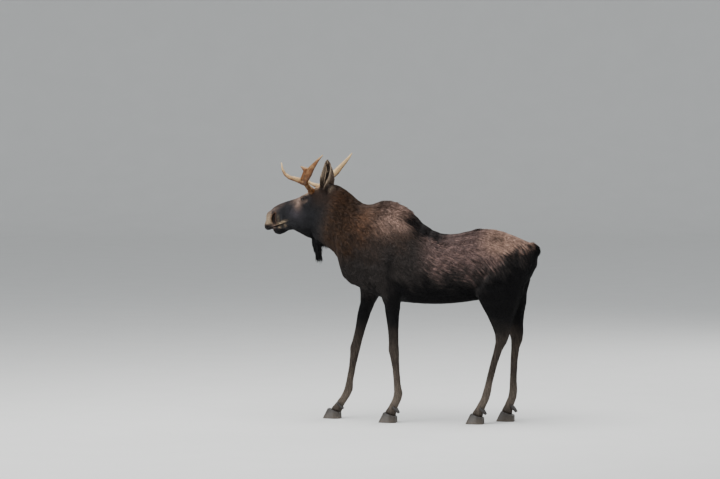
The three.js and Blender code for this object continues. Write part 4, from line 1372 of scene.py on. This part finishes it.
# How pale the rubbing has left each antler's beam, front, middle and rear tine, and then their points.
RUBBED = {"left": (0.24, 0.34, 0.0, 0.05), "right": (0.28, 0.45, 0.38, 0.62)}
POINTS = {"left": (0.0, 0.60, 0.10, 0.55), "right": (0.0, 0.50, 0.45, 0.45)}
ANTLER_VOXEL = 0.0026
HOOF_VOXEL = 0.003
SOLE = 0.0035  # what lies lower than this on a hoof is set flat on the ground


def grain_of_bone(points, name):
    """For each point of an antler, its direction of grain and how rubbed it is, each the mean over the four
    middle lines weighted by exp(-(distance / 22 mm)^2), and its distance from the nearest tip."""
    total, rubbed, tip_rub = np.zeros((3, len(points)))
    way = np.zeros_like(points)
    tips = np.full(len(points), np.inf)
    for number, places in enumerate(ANTLER[name]):
        path = drawn([at_side(place, SIDES[name]) for place in places])
        share, distance = beside(points, path)
        ways = unit(np.diff(path, axis=0))
        weight = hill(distance, 0.022) + 1e-6
        total += weight
        turning = [np.interp(share, np.linspace(0, 1, len(ways)), column) for column in ways.T]
        way += weight[:, None] * np.stack(turning, 1)
        rubbed += weight * RUBBED[name][number]
        if number:
            tip = np.linalg.norm(points - path[-1], axis=1)
            tips = np.minimum(tips, tip)
            tip_rub = np.maximum(tip_rub, POINTS[name][number] * smooth(0.085, 0.008, tip))
    return unit(way), rubbed / total + tip_rub, tips


class MOOSE_OT_antlers(bpy.types.Operator):
    """Builds each antler as one grown shape over its four solids."""

    bl_idname = "moose.antlers"
    bl_label = "Antlers"

    def execute(self, context):
        bone = antler_material()
        for name, side in SIDES.items():
            nodes = [f"antler_{name}_{part}" for part in ("beam", "front_tine", "middle_tine", "rear_tine")]
            mesh = fused(nodes, ANTLER_VOXEL)
            points = softened(mesh, np.full(len(mesh.vertices), 0.9), 30, 12)
            move_points(mesh, points)
            normals = normals_of(mesh)
            grain, rubbed, tips = grain_of_bone(points, name)
            burr = drawn([at_side(ANTLER_BURR, side)])[0]
            up_beam = (points - burr) @ unit(on_head((0, 1, 0.25), side)[0])
            base = hill(up_beam - 0.010, 0.009) * (1 + 0.5 * ripple(points, 0.014, 30))
            pearls = np.maximum(0, ripple(points, 0.011, 31)) * smooth(0.16, 0.0, up_beam)
            # Furrows along the grain, where the blood vessels of the velvet ran, 5 to 10 mm apart.
            furrows = ripple(points, 0.010, 32, 90, grain, 5.0) * smooth(0.01, 0.09, tips)
            scores = ripple(points, 0.0052, 33, 90, grain, 4.0)
            moved = 0.0062 * np.maximum(base, 0) + 0.0016 * pearls - 0.0009 * np.maximum(furrows, 0)
            move_points(mesh, points + normals * moved[:, None])
            # The upper sides are painted paler, as painted light from above, and the undersides painted
            # darker, as painted shade, over the real rubbing.
            under = smooth(0.05, -0.75, normals[:, 2])
            worn = rubbed + 0.26 * smooth(0.15, 0.9, normals[:, 2]) - 0.55 * under
            worn += 0.12 * smooth(0.5, 1.6, -furrows) - 0.12 * np.maximum(furrows, 0) - 0.06 * scores
            worn -= 0.35 * smooth(0.07, 0.0, up_beam)
            attribute(mesh, "Worn", np.clip(worn, 0, 1))
            # The undersides are painted darker in the bone's colour too: painted shade.
            attribute(mesh, "Furrow", 0.56 + 0.20 * furrows + 0.14 * scores - 0.30 * under)
            show(f"antler_{name}", mesh, [bone], nodes)
        return {"FINISHED"}


def claw_group(node):
    """A claw's points, smoothed and set flat on the ground, and its triangles."""
    mesh = fused([node], HOOF_VOXEL, 0.0)
    moved = softened(mesh, np.full(len(mesh.vertices), 0.8), 8, 6)
    moved[:, 2] = np.where(points_of(mesh)[:, 2] < SOLE, 0, np.maximum(moved[:, 2], 0))
    return moved, triangles_of(mesh)


class MOOSE_OT_hooves(bpy.types.Operator):
    """Builds each foot's two claws and two dewclaws."""

    bl_idname = "moose.hooves"
    bl_label = "Hooves"

    def execute(self, context):
        horn = horn_material()
        for foot in (f"{end}_{side}" for end in ENDS for side in SIDES):
            nodes = [f"{kind}_{foot}_{which}" for kind in ("hoof", "dewclaw") for which in ("inner", "outer")]
            mesh = gathered(f"hooves_{foot}", [claw_group(node) for node in nodes])
            show(f"hooves_{foot}", mesh, [horn], nodes)
        return {"FINISHED"}


# --------------------------------------------------------------------------------------------- the studio
CAMERA_TURN, CAMERA_RISE = np.radians(10), np.radians(3)
CAMERA_DISTANCE = 30.0
CAMERA_LENS = 187.5  # mm, on a sensor 36 mm wide
PIXEL = 0.008  # metres at the animal's distance
HUMP = (0, 0, 1.765)  # on the straight animal
HUMP_PIXEL = (389.5, 201.0)  # where it shows
IMAGE_MIDDLE = (360.0, 239.5)
RIGHT = np.array((np.cos(CAMERA_TURN), np.sin(CAMERA_TURN), 0))
AWAY = np.array((-RIGHT[1], RIGHT[0], 0))  # level, from the camera to the animal
BACK = np.array((0, 0, np.sin(CAMERA_RISE))) - AWAY * np.cos(CAMERA_RISE)
LIGHTS_AIM = (0, 0, 1.1)
SWEEP_EDGE = 40.0
SWEEP_FLAT, SWEEP_ROUND = 28.0, 6.0


def look(thing, place, target):
    """Sets a camera or light at a place, looking at a target."""
    back = unit(np.asarray(place, float) - target)
    right = unit(np.cross((0, 0, 1.0), back))
    matrix = np.eye(4)
    matrix[:3] = np.stack([right, np.cross(back, right), back, place], 1)
    thing.matrix_world = matrix.T.tolist()
    bpy.context.scene.collection.objects.link(thing)


def sweep_mesh():
    """Floor and backdrop in one sheet: flat out to SWEEP_FLAT behind, so that a camera can stand on every
    side, then a quarter circle of SWEEP_ROUND up to a wall, the profile carried straight across."""
    arc = np.linspace(0, np.pi / 2, 25)
    depth = np.array([-SWEEP_EDGE, *(SWEEP_FLAT + SWEEP_ROUND * np.sin(arc)), SWEEP_FLAT + SWEEP_ROUND])
    height = np.array([0, *(SWEEP_ROUND - SWEEP_ROUND * np.cos(arc)), SWEEP_EDGE])
    across = np.linspace(-SWEEP_EDGE, SWEEP_EDGE, 9)
    row, aside = grid_of(np.arange(len(depth)), across)
    points = np.outer(aside, RIGHT) + np.outer(depth[row], AWAY) + np.outer(height[row], (0, 0, 1))
    return mesh_from("sweep", points, grid_faces(len(depth), len(across), False))


class MOOSE_OT_stage(bpy.types.Operator):
    """Sets up the floor, backdrop, lights and camera."""

    bl_idname = "moose.stage"
    bl_label = "Studio"

    def execute(self, context):
        scene = context.scene
        studio = scene.moose_studio
        sweep = bpy.data.objects.new("studio_sweep", sweep_mesh())
        sweep.data.materials.append(floor_material())
        scene.collection.objects.link(sweep)
        world = bpy.data.worlds.new("studio")
        world.use_nodes = True
        background = world.node_tree.nodes["Background"]
        background.inputs["Color"].default_value = opaque("#dfe3e8")
        background.inputs["Strength"].default_value = studio.fill
        scene.world = world
        for name, place, width, strength in (
            ("overhead", (-1.0, -1.5, 7.5), 7.0, studio.overhead),
            ("front", (-7.0, -9.0, 4.5), 5.0, studio.front),
            ("rim", (5.0, 7.0, 5.5), 4.0, studio.rim),
        ):
            light = bpy.data.lights.new(name, "AREA")
            light.size = width
            light.energy = strength
            look(bpy.data.objects.new(name, light), place, LIGHTS_AIM)
        camera = bpy.data.cameras.new("camera")
        camera.lens = CAMERA_LENS
        camera.sensor_width = 36
        camera.clip_end = 200
        across, down = (np.array(IMAGE_MIDDLE) - HUMP_PIXEL) * PIXEL
        target = np.array(HUMP) - SHIFT + RIGHT * across - np.cross(BACK, RIGHT) * down
        eye = bpy.data.objects.new("camera", camera)
        look(eye, target + BACK * CAMERA_DISTANCE, target)
        scene.camera = eye
        return {"FINISHED"}


# ------------------------------------------------------------------------------------- settings and panel
def tone(name, description, code):
    """A colour setting that starts from an sRGB hex code."""
    return bpy.props.FloatVectorProperty(
        name=name, description=description, subtype="COLOR", size=4, min=0, max=1, default=opaque(code)
    )


def size(name, description, default):
    """A length setting in metres."""
    return bpy.props.FloatProperty(name=name, description=description, default=default, unit="LENGTH")


def power(name, description, default):
    """A setting of a light's strength."""
    return bpy.props.FloatProperty(name=name, description=description, default=default)


class MooseColours(bpy.types.PropertyGroup):
    """Colours of the coat, antlers, hooves and studio."""

    body: tone("Body", "Hair of the shoulder and ribs", "#35302e")
    # Brown hair, partly a painted reddish sheen.
    brown_and_sheen: tone("Neck", "Brown hair on the side of the neck", "#3b2a1e")
    rust: tone("Rust", "Orange-brown hair ahead of the shoulder", "#5f3f28")
    # Pale hair, partly painted sunlight from above.
    hump: tone("Hump", "Hair over the shoulder blade", "#a18375")
    # Rosy brown hair, partly a painted reflection of the sky.
    back: tone("Back", "Rosy brown hair of the back and flank", "#77605b")
    # Pale hair over the hips, partly painted sunlight, also laid as a painted sheen along streaks of the back.
    croup_and_painted_light: tone("Croup", "Hair over the hips", "#a98977")
    # Black hair, also laid as painted shade along a fold of the neck and a crease behind the shoulder, and as
    # a painted shadow over the eye.
    black: tone("Black", "Hair of the crest, belly and haunches", "#09080a")
    head: tone("Head", "Hair of the face", "#232326")
    # A painted blue-grey sheen on the face hair.
    cheek: tone("Cheek", "Hair of the cheek", "#4a454b")
    # Pale hair, also laid as a painted rosy highlight under the eye.
    brow: tone("Brow", "Hair of the brows and the rim of the nostrils", "#8a7468")
    nose: tone("Nose", "Hair of the lips and the front of the nose", "#a89479")
    shin: tone("Shin", "Hair below the knee and hock", "#554b43")
    foot: tone("Foot", "Hair of the cannon and pastern", "#756a5f")
    ear: tone("Ear", "Hair on the back of the ears", "#514338")
    ear_lining: tone("Ear lining", "Hair inside the ears", "#b09d86")
    antler: tone("Antler", "Bone of the beam and palm", "#704319")
    antler_tip: tone("Antler points", "Rubbed points", "#cdb080")
    hoof: tone("Hoof", "Horn of the claws", "#231f1c")
    paper: tone("Paper", "Studio floor and backdrop", "#dededb")


class MooseCoat(bpy.types.PropertyGroup):
    """Sizes of the locks of hair."""

    body_length: size("Body length", "Length of a lock on the trunk", 0.040)
    body_width: size("Body width", "Width of a lock on the trunk", 0.0045)
    body_spacing: size("Body spacing", "Distance between locks on the trunk", 0.0047)
    mane_length: size("Mane length", "Length of a lock on the crest", 0.068)
    head_length: size("Head length", "Length of a lock on the cheek", 0.0165)
    head_spacing: size("Head spacing", "Distance between locks on the head", 0.0037)
    leg_length: size("Leg length", "Length of a lock on the legs", 0.021)
    leg_spacing: size("Leg spacing", "Distance between locks on the legs", 0.0052)
    ear_length: size("Ear length", "Length of a lock on the ears", 0.013)
    bell_length: size("Bell length", "Length of a lock on the bell", 0.050)


class MooseStudio(bpy.types.PropertyGroup):
    """Strength of the studio's lights."""

    overhead: power("Overhead", "Power of the top light, in watts", 820)
    front: power("Front", "Power of the front light, in watts", 650)
    rim: power("Rim", "Power of the rear light, in watts", 360)
    fill: power("Fill", "Strength of the light from all round", 0.80)


OPERATORS = (
    MOOSE_OT_skin,
    MOOSE_OT_coat,
    MOOSE_OT_eyes,
    MOOSE_OT_antlers,
    MOOSE_OT_hooves,
    MOOSE_OT_stage,
)
GROUPS = {"moose_colours": MooseColours, "moose_coat": MooseCoat, "moose_studio": MooseStudio}


class MOOSE_PT_panel(bpy.types.Panel):
    """Lists the settings and the steps that build the moose."""

    bl_idname = "MOOSE_PT_panel"
    bl_label = "Bull moose"
    bl_space_type = "VIEW_3D"
    bl_region_type = "UI"
    bl_category = "Moose"

    def draw(self, context):
        for group in GROUPS:
            box = self.layout.box()
            for name in GROUPS[group].__annotations__:
                box.prop(getattr(context.scene, group), name)
        for operator in OPERATORS:
            self.layout.operator(operator.bl_idname)


CLASSES = (*GROUPS.values(), *OPERATORS, MOOSE_PT_panel)


def register():
    """Registers the classes and the scene's settings."""
    for item in CLASSES:
        bpy.utils.register_class(item)
    for name, group in GROUPS.items():
        setattr(bpy.types.Scene, name, bpy.props.PointerProperty(type=group))


def unregister():
    """Removes them again."""
    for name in GROUPS:
        delattr(bpy.types.Scene, name)
    for item in reversed(CLASSES):
        bpy.utils.unregister_class(item)


def main():
    """Builds the moose and its studio."""
    register()
    bpy.ops.moose.skin()
    bpy.ops.moose.coat()
    bpy.ops.moose.eyes()
    bpy.ops.moose.antlers()
    bpy.ops.moose.hooves()
    bpy.ops.moose.stage()


if __name__ == "__main__":
    main()
